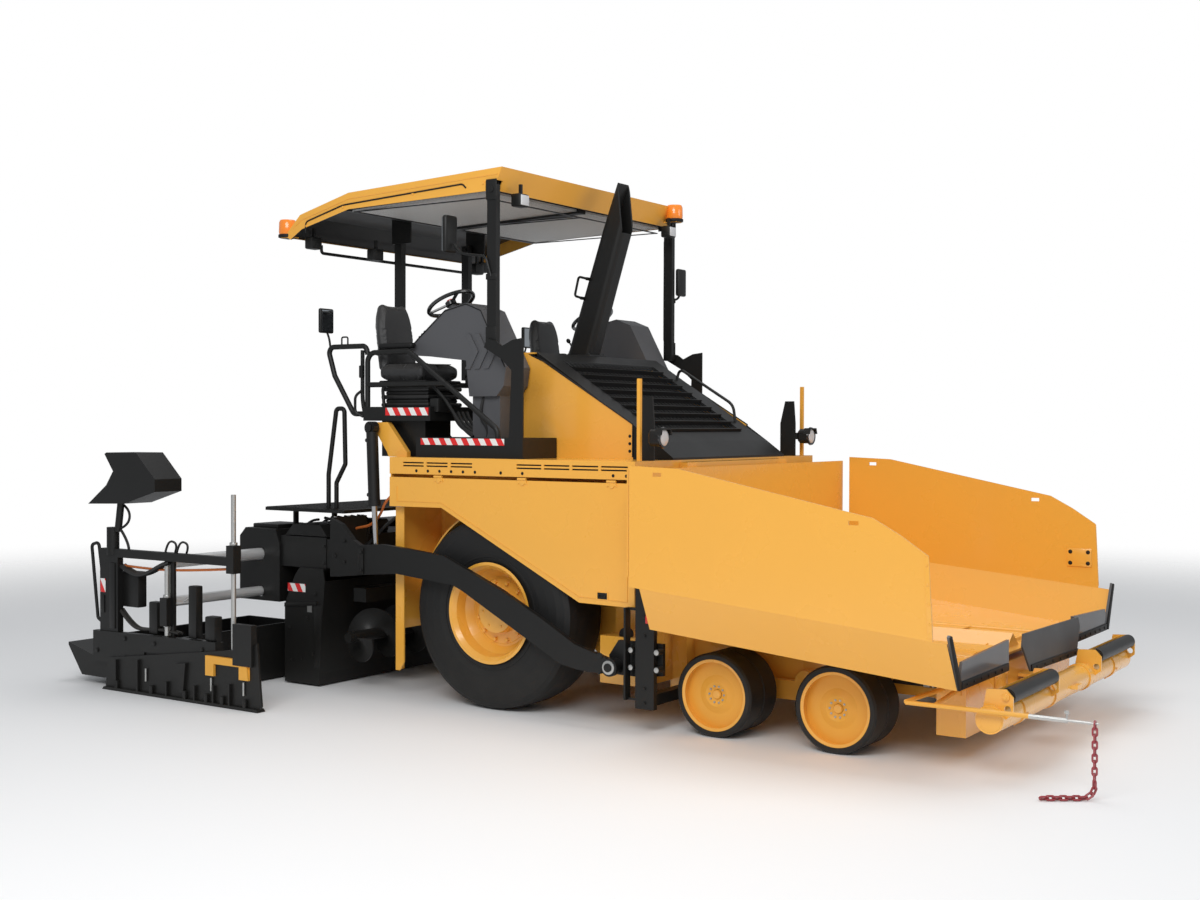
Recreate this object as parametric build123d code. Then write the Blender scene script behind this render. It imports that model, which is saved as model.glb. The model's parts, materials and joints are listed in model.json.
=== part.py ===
"""Wheeled asphalt paver with a hopper, a folding canopy and an extending screed.

Lengths are millimetres. X points forward to the hopper, Y to the machine's left, Z up.
Places are written from the drive axle, on the ground, and every node moves back by
AXLE_TO_MIDDLE when it is saved, so that the origin is under the middle of the machine.
Pieces are drawn on the right side, at negative Y, and mirrored to the left.
"""
from build123d import *
from math import cos, pi, sin
import os

os.makedirs("parts", exist_ok=True)

# ---- driving dimensions ---------------------------------------------------------------
AXLE_TO_MIDDLE = 371

TYRE_RADIUS = 660
TYRE_FACE = 1250
TYRE_WIDTH = 435
RIM_RADIUS = 345
RIM_SEAT = 322

FRONT_WHEEL_X = (2496, 1678)
FRONT_WHEEL_RADIUS = 262
FRONT_WHEEL_FACE = 1143
FRONT_WHEEL_WIDTH = 360
KINGPIN_Y = 860
PIN_GAP = 0.3

PANEL_Y = 1275
PANEL_THICK = 10
DECK_TOP = 1705
BODY_REAR = -869
BODY_FRONT = 1183
DOOR_SPLIT_Z = 1575
DOOR_GAP = 13
DOOR_HINGE_Y = -1281
DOOR_HINGES = (-420, 300, 1010)

WING_Y = 1600
WING_REAR = 1349
WING_FRONT = 3270
WING_PLATE = 12
WING_HINGE_Y = 640
WING_HINGE_Z = 560
FLAP_X = 3362

FRAME_Y = 700
FRAME_WEB = 20
CHASSIS_Y = 600
BOX_FRONT = 3242

TOW_PIN = (1045, 405)
ARM_Y = (-1360, -1320)
CARRIAGE_Y = (-1270, -1240)

LIFT_PIN = (-1060, 1910)
ROD_EYE = (-1020, 985)
LIFT_Y = -1250

CANOPY_HALF = 1165
CANOPY_RIM = 12
CEILING_Y = 1120
POST_X = -40
POST_FOOT_Z = 2490
POST_LENGTH = 1040
POST_Y = 1150
REAR_POST_X = -1538
REAR_POST_FOOT_Z = 2330
REAR_POST_Y = 410

AUGER_X = -1270
AUGER_Z = 390
AUGER_RADIUS = 190
AUGER_END = 1275
AUGER_SHAFT = 42
AUGER_STUB = 35
AUGER_STUB_LENGTH = 45
FLIGHT_PITCH = 300
FLIGHT_LENGTH = 1050
FLIGHT_THICK = 14

SCREED_FRONT = -1525
SCREED_REAR = -1935
SCREED_HALF = 1250
GATE_Y = 2200

BUMPER_X = 3488
BUMPER_Z = 345
BUMPER_RADIUS = 78
BUMPER_HALF = 1320
BUMPER_PIVOT_X = 3300
ROLLER_X = 3565
ROLLER_Z = 470
ROLLER_RADIUS = 45
ROLLER_Y = (465, 1257)
EAR_THICK = 14
TIE_HOLE = (3575, 405)
TIE_HOLE_RADIUS = 19

GUIDE_Y = -1370
CHAIN_X = 4064

TUBE = 19
TUBE_BEND = 70


# ---- drawing helpers ------------------------------------------------------------------
def span_box(x, y, z):
    """A block between two places on each axis."""
    size = [max(s) - min(s) for s in (x, y, z)]
    return Pos((x[0] + x[1]) / 2, (y[0] + y[1]) / 2, (z[0] + z[1]) / 2) * Box(*size)


def outline_face(points):
    """A flat face from corners; it lies on the XY plane."""
    return make_face(Polyline(*points, close=True))


def side_plate(outline, y):
    """An XZ outline, given width between two places on Y."""
    face = Plane.XZ * outline_face(outline)
    return Pos(0, min(y), 0) * extrude(face, amount=abs(y[1] - y[0]), dir=(0, 1, 0))


def cross_plate(outline, x):
    """A YZ outline, given length between two places on X."""
    face = Plane.YZ * outline_face(outline)
    return Pos(min(x), 0, 0) * extrude(face, amount=abs(x[1] - x[0]), dir=(1, 0, 0))


def floor_plate(outline, z):
    """An XY outline, given height between two places on Z."""
    return Pos(0, 0, min(z)) * extrude(outline_face(outline), amount=abs(z[1] - z[0]), dir=(0, 0, 1))


def bar(start, end, radius):
    """A round bar from one point to another."""
    start, end = Vector(*start), Vector(*end)
    line = end - start
    return Plane(origin=start, z_dir=line) * Cylinder(radius, line.length, align=(Align.CENTER, Align.CENTER, Align.MIN))


def cross_bar(x, z, radius, y):
    """A round bar along Y."""
    return bar((x, min(y), z), (x, max(y), z), radius)


def bent_tube(points, radius=TUBE, bend=TUBE_BEND):
    """A tube rail along straight runs with rounded corners."""
    path = FilletPolyline(*points, radius=bend)
    return sweep(Plane(origin=path @ 0, z_dir=path % 0) * Circle(radius), path=path)


def turned(profile):
    """A (radius, y) profile turned about the Y axis."""
    return revolve(outline_face(profile), Axis.Y)


def mirrored(shape):
    return mirror(shape, about=Plane.XZ)


def both_sides(shape):
    return shape + mirrored(shape)


def joined(shapes):
    """All the shapes as one."""
    total = shapes[0]
    for shape in shapes[1:]:
        total = total + shape
    return total


def save(node, shape):
    export_step(Pos(-AXLE_TO_MIDDLE, 0, 0) * shape, f"parts/{node}.step")


def save_pair(node, right_shape):
    """A piece on the right side and its mirror image on the left."""
    save(f"{node}_right", right_shape)
    save(f"{node}_left", mirrored(right_shape))


# ---- frame and axles ------------------------------------------------------------------
def main_frame():
    """Welded engine bay, feed tunnel, hopper rails and front box, with fenders and tanks."""
    web_outline = [(-900, 480), (-900, 1560), (-860, 1690), (1240, 1690), (1240, 300), (600, 300), (430, 480)]
    web = side_plate(web_outline, (-FRAME_Y - FRAME_WEB, -FRAME_Y))
    rail_outline = [(1240, 300), (1240, 540), (BOX_FRONT, 520), (BOX_FRONT, 200), (2900, 300)]
    rail = side_plate(rail_outline, (-CHASSIS_Y - FRAME_WEB, -CHASSIS_Y))
    rail_foot = span_box((1220, 1240), (-FRAME_Y, -CHASSIS_Y), (300, 540))
    web_foot = span_box((1115, 1240), (-FRAME_Y - FRAME_WEB, -FRAME_Y), (160, 300))
    tank = span_box((800, 1130), (-1090, -FRAME_Y - FRAME_WEB), (250, 560))
    tank_wall = span_box((800, 1130), (-905, -FRAME_Y - FRAME_WEB), (560, 775))
    tank_cap = Pos(980, -1000, 575) * Cylinder(32, 34)
    column_web = side_plate([(-867, 190), (-867, 1350), (-791, 1350), (-791, 250), (-830, 190)], (-1212, -1200))
    column_flange = span_box((-867, -857), (-1200, -FRAME_Y), (480, 1350))
    column_lip = span_box((-867, -857), (-1200, -1130), (190, 480))
    lift_outline = [(-1115, 1875), (-1115, 1950), (-960, 1950), (-780, 1740), (-780, DECK_TOP), (-950, DECK_TOP),
                    (-968, 1740), (-1048, 1850)]
    lift_bracket = side_plate(lift_outline, (-1195, -1155))
    lift_pin = cross_bar(*LIFT_PIN, 22, (LIFT_Y - 45, -1195))
    right = [web, rail, rail_foot, web_foot, tank, tank_wall, tank_cap, column_web, column_flange, column_lip, fender(),
             lift_bracket, lift_pin]
    middle = [
        span_box((-900, -880), (-FRAME_Y, FRAME_Y), (480, 700)),
        span_box((-900, -880), (-FRAME_Y, FRAME_Y), (712, 1560)),
        span_box((-900, 1240), (-FRAME_Y, FRAME_Y), (700, 712)),
        span_box((-900, 430), (-FRAME_Y, FRAME_Y), (480, 492)),
        span_box((1220, 1240), (-FRAME_Y, FRAME_Y), (712, 1690)),
        span_box((600, 3067), (-CHASSIS_Y, CHASSIS_Y), (300, 312)),
        span_box((3067, BOX_FRONT), (-1000, 1000), (160, 500)),
    ]
    return joined([both_sides(joined(right))] + middle)


def fender():
    """Curved liner over the drive tyre, with its end plates."""
    outer, inner = TYRE_RADIUS + 62, TYRE_RADIUS + 50
    ring = Pos(0, -910, TYRE_RADIUS) * Rot(90, 0, 0) * (Cylinder(outer, 380) - Cylinder(inner, 380))
    keep = span_box((-850, 470), (-1110, -710), (760, 1500))
    return ring & keep


def axle_beams():
    """Drive axle with its hubs, and the front bogie beams with forks for the knuckles."""
    hub = turned([(0, -1145), (58, -1145), (58, -1062), (190, -1010), (190, -850), (230, -840), (230, -720), (0, -720)])
    drive = both_sides(Pos(0, 0, TYRE_RADIUS) * hub)
    middle_x = sum(FRONT_WHEEL_X) / 2
    wheel_z = FRONT_WHEEL_RADIUS
    beam = span_box((FRONT_WHEEL_X[1] - 90, FRONT_WHEEL_X[0] + 90), (-700, -640), (wheel_z - 60, wheel_z + 60))
    pivot = cross_bar(middle_x, wheel_z + 60, 70, (-700, -CHASSIS_Y - FRAME_WEB))
    forks = []
    for x in FRONT_WHEEL_X:
        arm = span_box((x - 45, x + 45), (-KINGPIN_Y + 35, -700), (wheel_z - 45, wheel_z + 45))
        ears = span_box((x - 40, x + 40), (-KINGPIN_Y - 38, -KINGPIN_Y + 38), (wheel_z - 85, wheel_z - 55))
        ears += span_box((x - 40, x + 40), (-KINGPIN_Y - 38, -KINGPIN_Y + 38), (wheel_z + 55, wheel_z + 85))
        web = span_box((x - 40, x + 40), (-KINGPIN_Y + 35, -760), (wheel_z - 85, wheel_z + 85))
        kingpin = bar((x, -KINGPIN_Y, wheel_z - 85), (x, -KINGPIN_Y, wheel_z + 85), 18)
        forks += [arm, ears, web, kingpin]
    return drive + both_sides(joined([beam, pivot] + forks))


def knuckle(x):
    """Carrier that turns on the kingpin and holds one front wheel's spindle."""
    z = FRONT_WHEEL_RADIUS
    body = bar((x, -KINGPIN_Y, z - 50), (x, -KINGPIN_Y, z + 50), 34)
    body -= bar((x, -KINGPIN_Y, z - 60), (x, -KINGPIN_Y, z + 60), 18 + PIN_GAP)
    spindle = cross_bar(x, z, 30, (-1075, -KINGPIN_Y - 30))
    collar = cross_bar(x, z, 48, (-1010, -KINGPIN_Y - 33))
    return body + collar + spindle


def drive_tyre():
    """Drive tyre, its shoulders and bead in one turned section."""
    middle = TYRE_FACE - TYRE_WIDTH / 2
    section = [(RIM_SEAT, 190), (RIM_RADIUS + 20, 205), (430, 216), (500, TYRE_WIDTH / 2), (560, 214), (615, 200), (646, 180),
               (656, 120), (TYRE_RADIUS, 0)]
    outer = [(r, -middle - w) for r, w in section]
    inner = [(r, -middle + w) for r, w in reversed(section[:-1])]
    return Pos(0, 0, TYRE_RADIUS) * turned(outer + inner)


def drive_rim():
    """Deep rim with a stepped flange and a dished disc on the drive hub."""
    profile = [(RIM_RADIUS, -1252), (RIM_SEAT - 2, -1238), (RIM_SEAT - 2, -835), (RIM_SEAT - 16, -835),
               (RIM_SEAT - 16, -1050), (235, -1080), (150, -1086), (58 + PIN_GAP, -1086),
               (58 + PIN_GAP, -1108), (160, -1108), (240, -1102), (285, -1150), (300, -1225), (325, -1252)]
    cap = turned([(58 + PIN_GAP, -1108), (150, -1108), (140, -1180), (0, -1188), (0, -1150), (58 + PIN_GAP, -1150)])
    return Pos(0, 0, TYRE_RADIUS) * (turned(profile) + cap)


def front_wheel(x):
    """Solid tyre with two bands, bonded to a dished disc."""
    r = FRONT_WHEEL_RADIUS
    face, back = -FRONT_WHEEL_FACE, -FRONT_WHEEL_FACE + FRONT_WHEEL_WIDTH
    band = r * 0.885
    profile = [(r - 12, face), (r, face + 14), (r, face + 172), (r - 9, face + 180), (r, face + 188), (r, back - 14),
               (r - 12, back), (band - 12, back), (band - 12, face + 95), (120, face + 70), (31, face + 70),
               (31, face + 55), (75, face + 40), (120, face + 55), (band - 18, face + 60), (band - 8, face)]
    return Pos(x, 0, r) * turned(profile)


# ---- bodywork -------------------------------------------------------------------------
DOOR_OUTLINE = [(BODY_REAR, DOOR_SPLIT_Z - 10), (BODY_REAR, 1358), (-396, 1361), (759, 788), (BODY_FRONT, 781),
                (BODY_FRONT, DOOR_SPLIT_Z - 10)]
# groups of air slots: first slot's x, slot length, pitch, count
SLOT_GROUPS = [(-745, 190, 215, 3), (250, 205, 225, 4)]
SLOT_ROWS = (1646, 1668)


def body_sides():
    """Deck and the fixed upper bands of both flanks, with two rows of air slots."""
    band = span_box((BODY_REAR, BODY_FRONT), (-PANEL_Y, -PANEL_Y + PANEL_THICK), (DOOR_SPLIT_Z + DOOR_GAP, DECK_TOP))
    for start, length, pitch, count in SLOT_GROUPS:
        for index in range(count):
            x = start + index * pitch
            for z in SLOT_ROWS:
                band -= span_box((x, x + length), (-PANEL_Y - 5, -PANEL_Y + 20), (z - 5, z + 5))
    rear = span_box((BODY_REAR, BODY_REAR + 10), (-PANEL_Y + PANEL_THICK, -FRAME_Y - FRAME_WEB), (1358, DECK_TOP))
    front = span_box((BODY_FRONT - 10, BODY_FRONT), (-PANEL_Y + PANEL_THICK, -FRAME_Y - FRAME_WEB), (800, DECK_TOP))
    deck = span_box((BODY_REAR, BODY_FRONT), (-PANEL_Y + PANEL_THICK, PANEL_Y - PANEL_THICK), (1691, DECK_TOP))
    return both_sides(band + rear + front) + deck


def side_door():
    """Flank panel that swings up on the split line, cut back round the drive tyre."""
    skin = side_plate(DOOR_OUTLINE, (-PANEL_Y, -PANEL_Y + PANEL_THICK))
    latch = Pos(940, -PANEL_Y, 840) * Box(44, 8, 50)
    skin -= latch
    for x in DOOR_HINGES:
        skin += span_box((x - 35, x + 35), (DOOR_HINGE_Y, -PANEL_Y), (1545, DOOR_SPLIT_Z))
        skin += bar((x - 35, DOOR_HINGE_Y, DOOR_SPLIT_Z), (x + 35, DOOR_HINGE_Y, DOOR_SPLIT_Z), 8)
    return skin


def engine_hood():
    """Raised engine cover between the operator stations."""
    flank = [(-170, DECK_TOP), (-170, 2440), (-40, 2440), (125, 2374), (865, 1937), (865, DECK_TOP)]
    wall = side_plate(flank, (-800, -788))
    rear = span_box((-170, -158), (-800, 800), (DECK_TOP, 2440))
    top = span_box((-170, 40), (-800, 800), (2428, 2440))
    return both_sides(wall) + rear + top


GRILLE_TOP = (60, 2440)
GRILLE_LOW = (1035, 1822)
GRILLE_NOSE = (1176, DECK_TOP + 15)


def hood_grille():
    """Sloping black frame over the cooler, with its louvres, and the nose below it."""
    slope = (GRILLE_TOP[1] - GRILLE_LOW[1]) / (GRILLE_LOW[0] - GRILLE_TOP[0])
    thick = 30
    section = [GRILLE_TOP, GRILLE_LOW, GRILLE_NOSE, (GRILLE_NOSE[0], DECK_TOP), (GRILLE_NOSE[0] - 30, DECK_TOP),
               (GRILLE_LOW[0] - 25, GRILLE_LOW[1] - 22), (GRILLE_TOP[0], GRILLE_TOP[1] - thick)]
    frame = side_plate(section, (-788, 788))
    window = side_plate([(150, 2480), (150, 2300), (930, 1790), (930, 2000)], (-600, 600))
    frame -= window
    louvres = []
    count = 9
    for index in range(count):
        x = 195 + index * 85
        z = GRILLE_TOP[1] - (x - GRILLE_TOP[0]) * slope
        louvres.append(side_plate([(x, z - 8), (x + 55, z - 14), (x + 40, z - 44), (x + 20, z - 44)], (-600, 600)))
    nose_sides = both_sides(side_plate([(865, 1937), GRILLE_LOW, GRILLE_NOSE, (GRILLE_NOSE[0], DECK_TOP), (865, DECK_TOP)],
                                       (-800, -788)))
    return joined([frame, nose_sides] + louvres)


def fume_stack():
    """Square-shouldered fume duct that leans forward and ends in a slanted mouth."""
    outline = [(-195, 2440), (20, 2440), (300, 3330), (262, 3700), (225, 3640), (120, 3360)]
    outer = side_plate(outline, (-85, 85))
    outer = fillet(outer.edges().filter_by(Axis.Y, reverse=True).filter_by(
        lambda edge: abs(edge.tangent_at(0.5).Z) > 0.5 and edge.length > 600), 45)
    mouth = [(84, 3200), (241, 3200), (281, 3335), (345, 3335), (345, 3710), (272, 3710), (243, 3636), (139, 3360)]
    bore = side_plate(mouth, (-66, 66))
    handle = bent_tube([(-30, -105, 2870), (-95, -105, 2890), (-60, -105, 3030), (20, -105, 3010)], 9, 18)
    return outer - bore + handle + cross_bar(-30, 2870, 12, (-119, -60)) + cross_bar(20, 3010, 12, (-119, -60))


def marker_lamps():
    """Marker posts on the deck's front corners and the working lamps beside them."""
    post = span_box((1133, 1157), (-1176, -1152), (DECK_TOP, 2230))
    stand = side_plate([(1040, DECK_TOP), (1040, 1950), (1080, 2118), (1152, 2118), (1165, 1950), (1165, DECK_TOP)],
                       (-1020, -1008))
    lamp = Pos(1225, -1067, 1854) * Box(88, 130, 110)
    lamp = fillet(lamp.edges().filter_by(Axis.X), 30)
    lamp = chamfer(lamp.faces().sort_by(Axis.X)[0].edges(), 18)
    visor = cross_plate([(-1136, 1870), (-1120, 1915), (-1014, 1915), (-998, 1870), (-1008, 1870), (-1020, 1906),
                         (-1114, 1906), (-1126, 1870)], (1240, 1290))
    neck = span_box((1160, 1185), (-1060, -1008), (1830, 1880))
    return both_sides(joined([post, stand, neck, lamp, visor]))


# ---- operator stations ----------------------------------------------------------------
def operator_platform():
    """Black floor frames, seat steps, canopy brackets and the rear cross frame."""
    floor = span_box((-690, 246), (-1200, -810), (DECK_TOP, 1845))
    step = span_box((-1190, -560), (-1200, -700), (1960, 2060))
    riser = span_box((-1100, -690), (-1100, -820), (DECK_TOP, 1960))
    bracket_outline = [(-85, 2460), (-60, 2520), (20, 2500), (70, 2465), (160, 2505), (246, 2515), (246, DECK_TOP),
                       (90, DECK_TOP), (130, 1850), (150, 2300), (60, 2380)]
    bracket = side_plate(bracket_outline, (-1200, -1188))
    pin = cross_bar(POST_X, POST_FOOT_Z, 14, (-1200, -1125))
    leg = side_plate([(-900, DECK_TOP), (-860, DECK_TOP), (-1480, 2275), (-1590, 2275), (-1590, 2235), (-1500, 2235)],
                     (-450, -420))
    rear_pin = cross_bar(REAR_POST_X, REAR_POST_FOOT_Z, 14, (-450, -375))
    rear_ear = span_box((REAR_POST_X - 40, REAR_POST_X + 40), (-450, -440), (2275, REAR_POST_FOOT_Z + 40))
    right = joined([floor, step, riser, bracket, pin, leg, rear_pin, rear_ear])
    tie = span_box((-1590, -1510), (-450, 450), (2235, 2275))
    return both_sides(right) + tie


def platform_rails():
    """Bent tube rails round both stations, the mirror arms and the hood's handrail."""
    outer_y = -1180
    loop = bent_tube([(-1165, outer_y, 2060), (-1165, outer_y, 2450), (-772, outer_y, 2450),
                      (20, outer_y, 1900), (20, outer_y, 1845)])
    middle = bar((-1165, outer_y, 2219), (-430, outer_y, 2219), TUBE)
    rear = bent_tube([(-1190, outer_y, 2010), (-1300, outer_y, 2010), (-1490, outer_y, 2290), (-1560, outer_y, 2500),
                      (-1180, outer_y, 2500), (-1165, outer_y, 2440)], TUBE, 45)
    return both_sides(joined([loop, middle, rear]))


def seats():
    """Suspension seats: cushion, back and headrest over a ribbed bellows base."""
    y = -935
    plates = [span_box((-1090 + inset, -640 - inset), (y - 190 + inset, y + 190 - inset), (z, z + 45))
              for z, inset in ((2060, 0), (2105, 22), (2150, 0), (2195, 22))]
    cushion = Pos(-890, y, 2305) * Box(480, 470, 130)
    cushion = fillet(cushion.edges().filter_by(Axis.Z), 60)
    back_outline = [(-1110, 2300), (-1010, 2330), (-1090, 2600), (-1130, 2830), (-1190, 2830), (-1215, 2600), (-1190, 2400)]
    back = side_plate(back_outline, (y - 205, y + 205))
    shoulders = back.edges().filter_by(Axis.Y, reverse=True).sort_by(Axis.Z)[-2:]
    back = fillet(shoulders, 70)
    return both_sides(joined(plates + [cushion, back]))


def consoles():
    """Grey control pods on their stands beside the seats, with the steering columns."""
    y = (-1090, -815)
    pod_outline = [(-870, 2430), (-850, 2480), (-520, 2740), (-330, 2780), (-200, 2730), (20, 2330), (0, 2200), (-60, 2130),
                   (-300, 2130), (-330, 2380), (-700, 2420)]
    pod = side_plate(pod_outline, y)
    ribs = [side_plate([(x, 2560), (x + 45, 2560), (x + 115, 2440), (x + 45, 2320), (x, 2320), (x + 70, 2440)],
                       (y[0] - 10, y[0])) for x in CHEVRON_X]
    foot = span_box((-300, -60), (y[0] + 40, y[1] - 40), (1845, 2130))
    along = (STEER_AXIS[1] - STEER_AXIS[0]).normalized()
    sleeve = bar(STEER_AXIS[0] - along * 60, STEER_AXIS[1] - along * 22, 28)
    spindle = bar(STEER_AXIS[0], STEER_AXIS[1] + along * 2, SPINDLE)
    return both_sides(joined([pod, foot, sleeve, spindle] + ribs))


STEER_AXIS = (Vector(-560, -900, 2690), Vector(-620, -900, 2800))
WHEEL_RIM = 170
WHEEL_GRIP = 15
SPINDLE = 12
CHEVRON_X = (-330, -250, -170)


def steering_wheel():
    """Steering wheel with a bored hub and three spokes on an inclined column."""
    plane = Plane(origin=STEER_AXIS[1], z_dir=STEER_AXIS[1] - STEER_AXIS[0])
    section = Pos(WHEEL_RIM, 0) * RegularPolygon(WHEEL_GRIP, 8)
    rim = plane * revolve(Plane.XZ * section, Axis.Z)
    hub = plane * (Cylinder(40, 30) - Pos(0, 0, -15) * Cylinder(SPINDLE + PIN_GAP, 40))
    spokes = [plane * Rot(0, 0, 90 + 120 * index) * Pos(98, 0, 0) * Box(126, 22, 12) for index in range(3)]
    return joined([rim, hub] + spokes)


# ---- canopy ---------------------------------------------------------------------------
# turning lamps on opposite corners: lamp x and y, the span of its plate on x, the plate's height
BEACONS = [(-2035, -1120, (-2070, -1960), 3336), (60, 1066, (-45, 100), 3552)]


def canopy_roof():
    """Folded sheet roof with a deep rim all round, open below, and plates for two turning lamps."""
    outer = [(-2018, 3351), (-1860, 3497), (-1369, 3621), (41, 3679), (-30, 3526), (-1369, 3501), (-1840, 3390),
             (-1960, 3320)]
    inner = [(-1990, 3340), (-1857, 3487), (-1369, 3610), (24, 3667), (-53, 3501), (-100, 3400), (-1900, 3250)]
    shell = side_plate(outer, (-CANOPY_HALF, CANOPY_HALF))
    shell -= side_plate(inner, (-CANOPY_HALF + CANOPY_RIM, CANOPY_HALF - CANOPY_RIM))
    shell -= both_sides(span_box((-100, 60), (-POST_Y - 40, -POST_Y + 50), (3480, 3592)))
    lamps = []
    for x, y, plate_x, z in BEACONS:
        lamps.append(span_box(plate_x, (y - 40, y + 40), (z, z + 10)))
        lamps.append(Pos(x, y, z + 55) * Cylinder(48, 92))
    return joined([shell] + lamps)


def canopy_frame():
    """Beams under the roof with the ears and pins that sit on the four posts."""
    inside = CANOPY_HALF - CANOPY_RIM
    side = both_sides(side_plate([(-100, 3541), (-100, 3601), (-1400, 3560), (-1400, 3500)], (-inside, -CEILING_Y)))
    centre = side_plate([(-100, 3510), (-100, 3655), (-1400, 3590), (-1400, 3470)], (-40, 40))
    rear = span_box((-1420, -1370), (-inside, inside), (3490, 3590))
    front = span_box((-118, -88), (-inside, inside), (3575, 3650))
    front_ear = span_box((-118, POST_X + 15), (-1118, -1108), (3500, 3640))
    front_ear += cross_bar(POST_X, POST_FOOT_Z + POST_LENGTH, 14, (-1172, -1110))
    rear_ear = span_box((REAR_POST_X - 40, -1388), (-460, -448), (3330, 3545))
    rear_ear += cross_bar(REAR_POST_X, REAR_POST_FOOT_Z + POST_LENGTH, 14, (-450, -375))
    return joined([side, centre, rear, front, both_sides(front_ear), both_sides(rear_ear)])


def canopy_ceiling():
    """Perforated lining panels between the beams."""
    panel = side_plate([(-125, 3525), (-125, 3540), (-1370, 3504), (-1370, 3489)], (-CEILING_Y, -40))
    return both_sides(panel)


def canopy_front_posts():
    """Right front post, which swings on its foot pin."""
    top_z = POST_FOOT_Z + POST_LENGTH
    post = span_box((POST_X - 38, POST_X + 38), (-POST_Y - 25, -POST_Y + 20), (POST_FOOT_Z - 35, top_z + 35))
    for z in (POST_FOOT_Z, top_z):
        post -= cross_bar(POST_X, z, 14 + PIN_GAP, (-POST_Y - 30, -POST_Y + 30))
    return post


def canopy_rear_posts():
    """Right rear post."""
    top_z = REAR_POST_FOOT_Z + POST_LENGTH
    post = span_box((REAR_POST_X - 35, REAR_POST_X + 35), (-REAR_POST_Y - 25, -REAR_POST_Y + 25),
                    (REAR_POST_FOOT_Z - 33, top_z + 30))
    for z in (REAR_POST_FOOT_Z, top_z):
        post -= cross_bar(REAR_POST_X, z, 14 + PIN_GAP, (-REAR_POST_Y - 30, -REAR_POST_Y + 30))
    return post


# ---- hopper ---------------------------------------------------------------------------
def hopper_wing():
    """Bent side plate of the hopper with its floor, front lip and rubber flap."""
    wall_outline = [(WING_REAR, 955), (WING_REAR, 1689), (1688, 1677), (2925, 1431), (3083, 1346), (3245, 1240),
                    (WING_FRONT, 839), (WING_FRONT, 785)]
    wall = side_plate(wall_outline, (-WING_Y, -WING_Y + WING_PLATE))
    for x, z in ((1545, 1639), (2814, 1400)):
        wall -= Pos(x, -WING_Y, z) * Box(60, 40, 24)
    sections = []
    for x, crease, low_y, low_z in ((WING_REAR + 75, 950, -1480, 690), (FLAP_X - 10, 778, -1440, 505)):
        points = [(-WING_Y, crease), (-WING_Y + WING_PLATE, crease), (low_y + WING_PLATE, low_z + WING_PLATE),
                  (-WING_HINGE_Y - 30, WING_HINGE_Z + 8), (-WING_HINGE_Y - 30, WING_HINGE_Z - 4), (low_y, low_z)]
        sections.append(Pos(x, 0, 0) * (Plane.YZ * outline_face(points)))
    tray = loft(sections, ruled=True)
    hinge = bar((WING_REAR + 40, -WING_HINGE_Y - 15, WING_HINGE_Z), (BOX_FRONT - 40, -WING_HINGE_Y - 15, WING_HINGE_Z), 18)
    flap_outline = [(-1604, 814), (-1590, 825), (-1440, 560), (-1410, 660), (-640, 690), (-640, 520), (-1437, 508)]
    flap = cross_plate(flap_outline, (FLAP_X - 10, FLAP_X + 6))
    return wall + tray + hinge + flap


def hopper_floor():
    """Fixed middle of the hopper: covers over the feed chains, a ridge and the rear wall."""
    plate = span_box((1312, BOX_FRONT), (-CHASSIS_Y - FRAME_WEB + 10, CHASSIS_Y + FRAME_WEB - 10), (542, 556))
    ridge = cross_plate([(-110, 556), (0, 640), (110, 556)], (1312, 3180))
    lids = [cross_plate([(-560, 550), (-540, height), (-150, height), (-125, 550)], (start, end))
            for start, end, height in CHAIN_LIDS]
    rear = span_box((1300, 1312), (-1550, 1550), (1010, 1660)) + span_box((1300, 1312), (-1200, 1200), (720, 1010))
    rear -= span_box((1290, 1320), (110, 560), (600, 960))
    rear -= span_box((1290, 1320), (-560, -110), (600, 960))
    rear_low = span_box((1300, 1312), (-110, 110), (556, 720))
    link = both_sides(span_box((1240, 1300), (-720, -600), (600, 1650)))
    return joined([plate, ridge, rear, rear_low, link, both_sides(joined(lids))])


# covers over a feed chain: rear end, front end, height of the top
CHAIN_LIDS = [(1640, 2280, 590), (2292, 2700, 582), (2712, 3120, 574)]


def hopper_apron():
    """Rubber flap across the front of the fixed hopper floor."""
    return cross_plate([(-450, 625), (-430, 700), (690, 680), (731, 619), (656, 433), (-288, 457)], (FLAP_X + 14, FLAP_X + 26))


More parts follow.
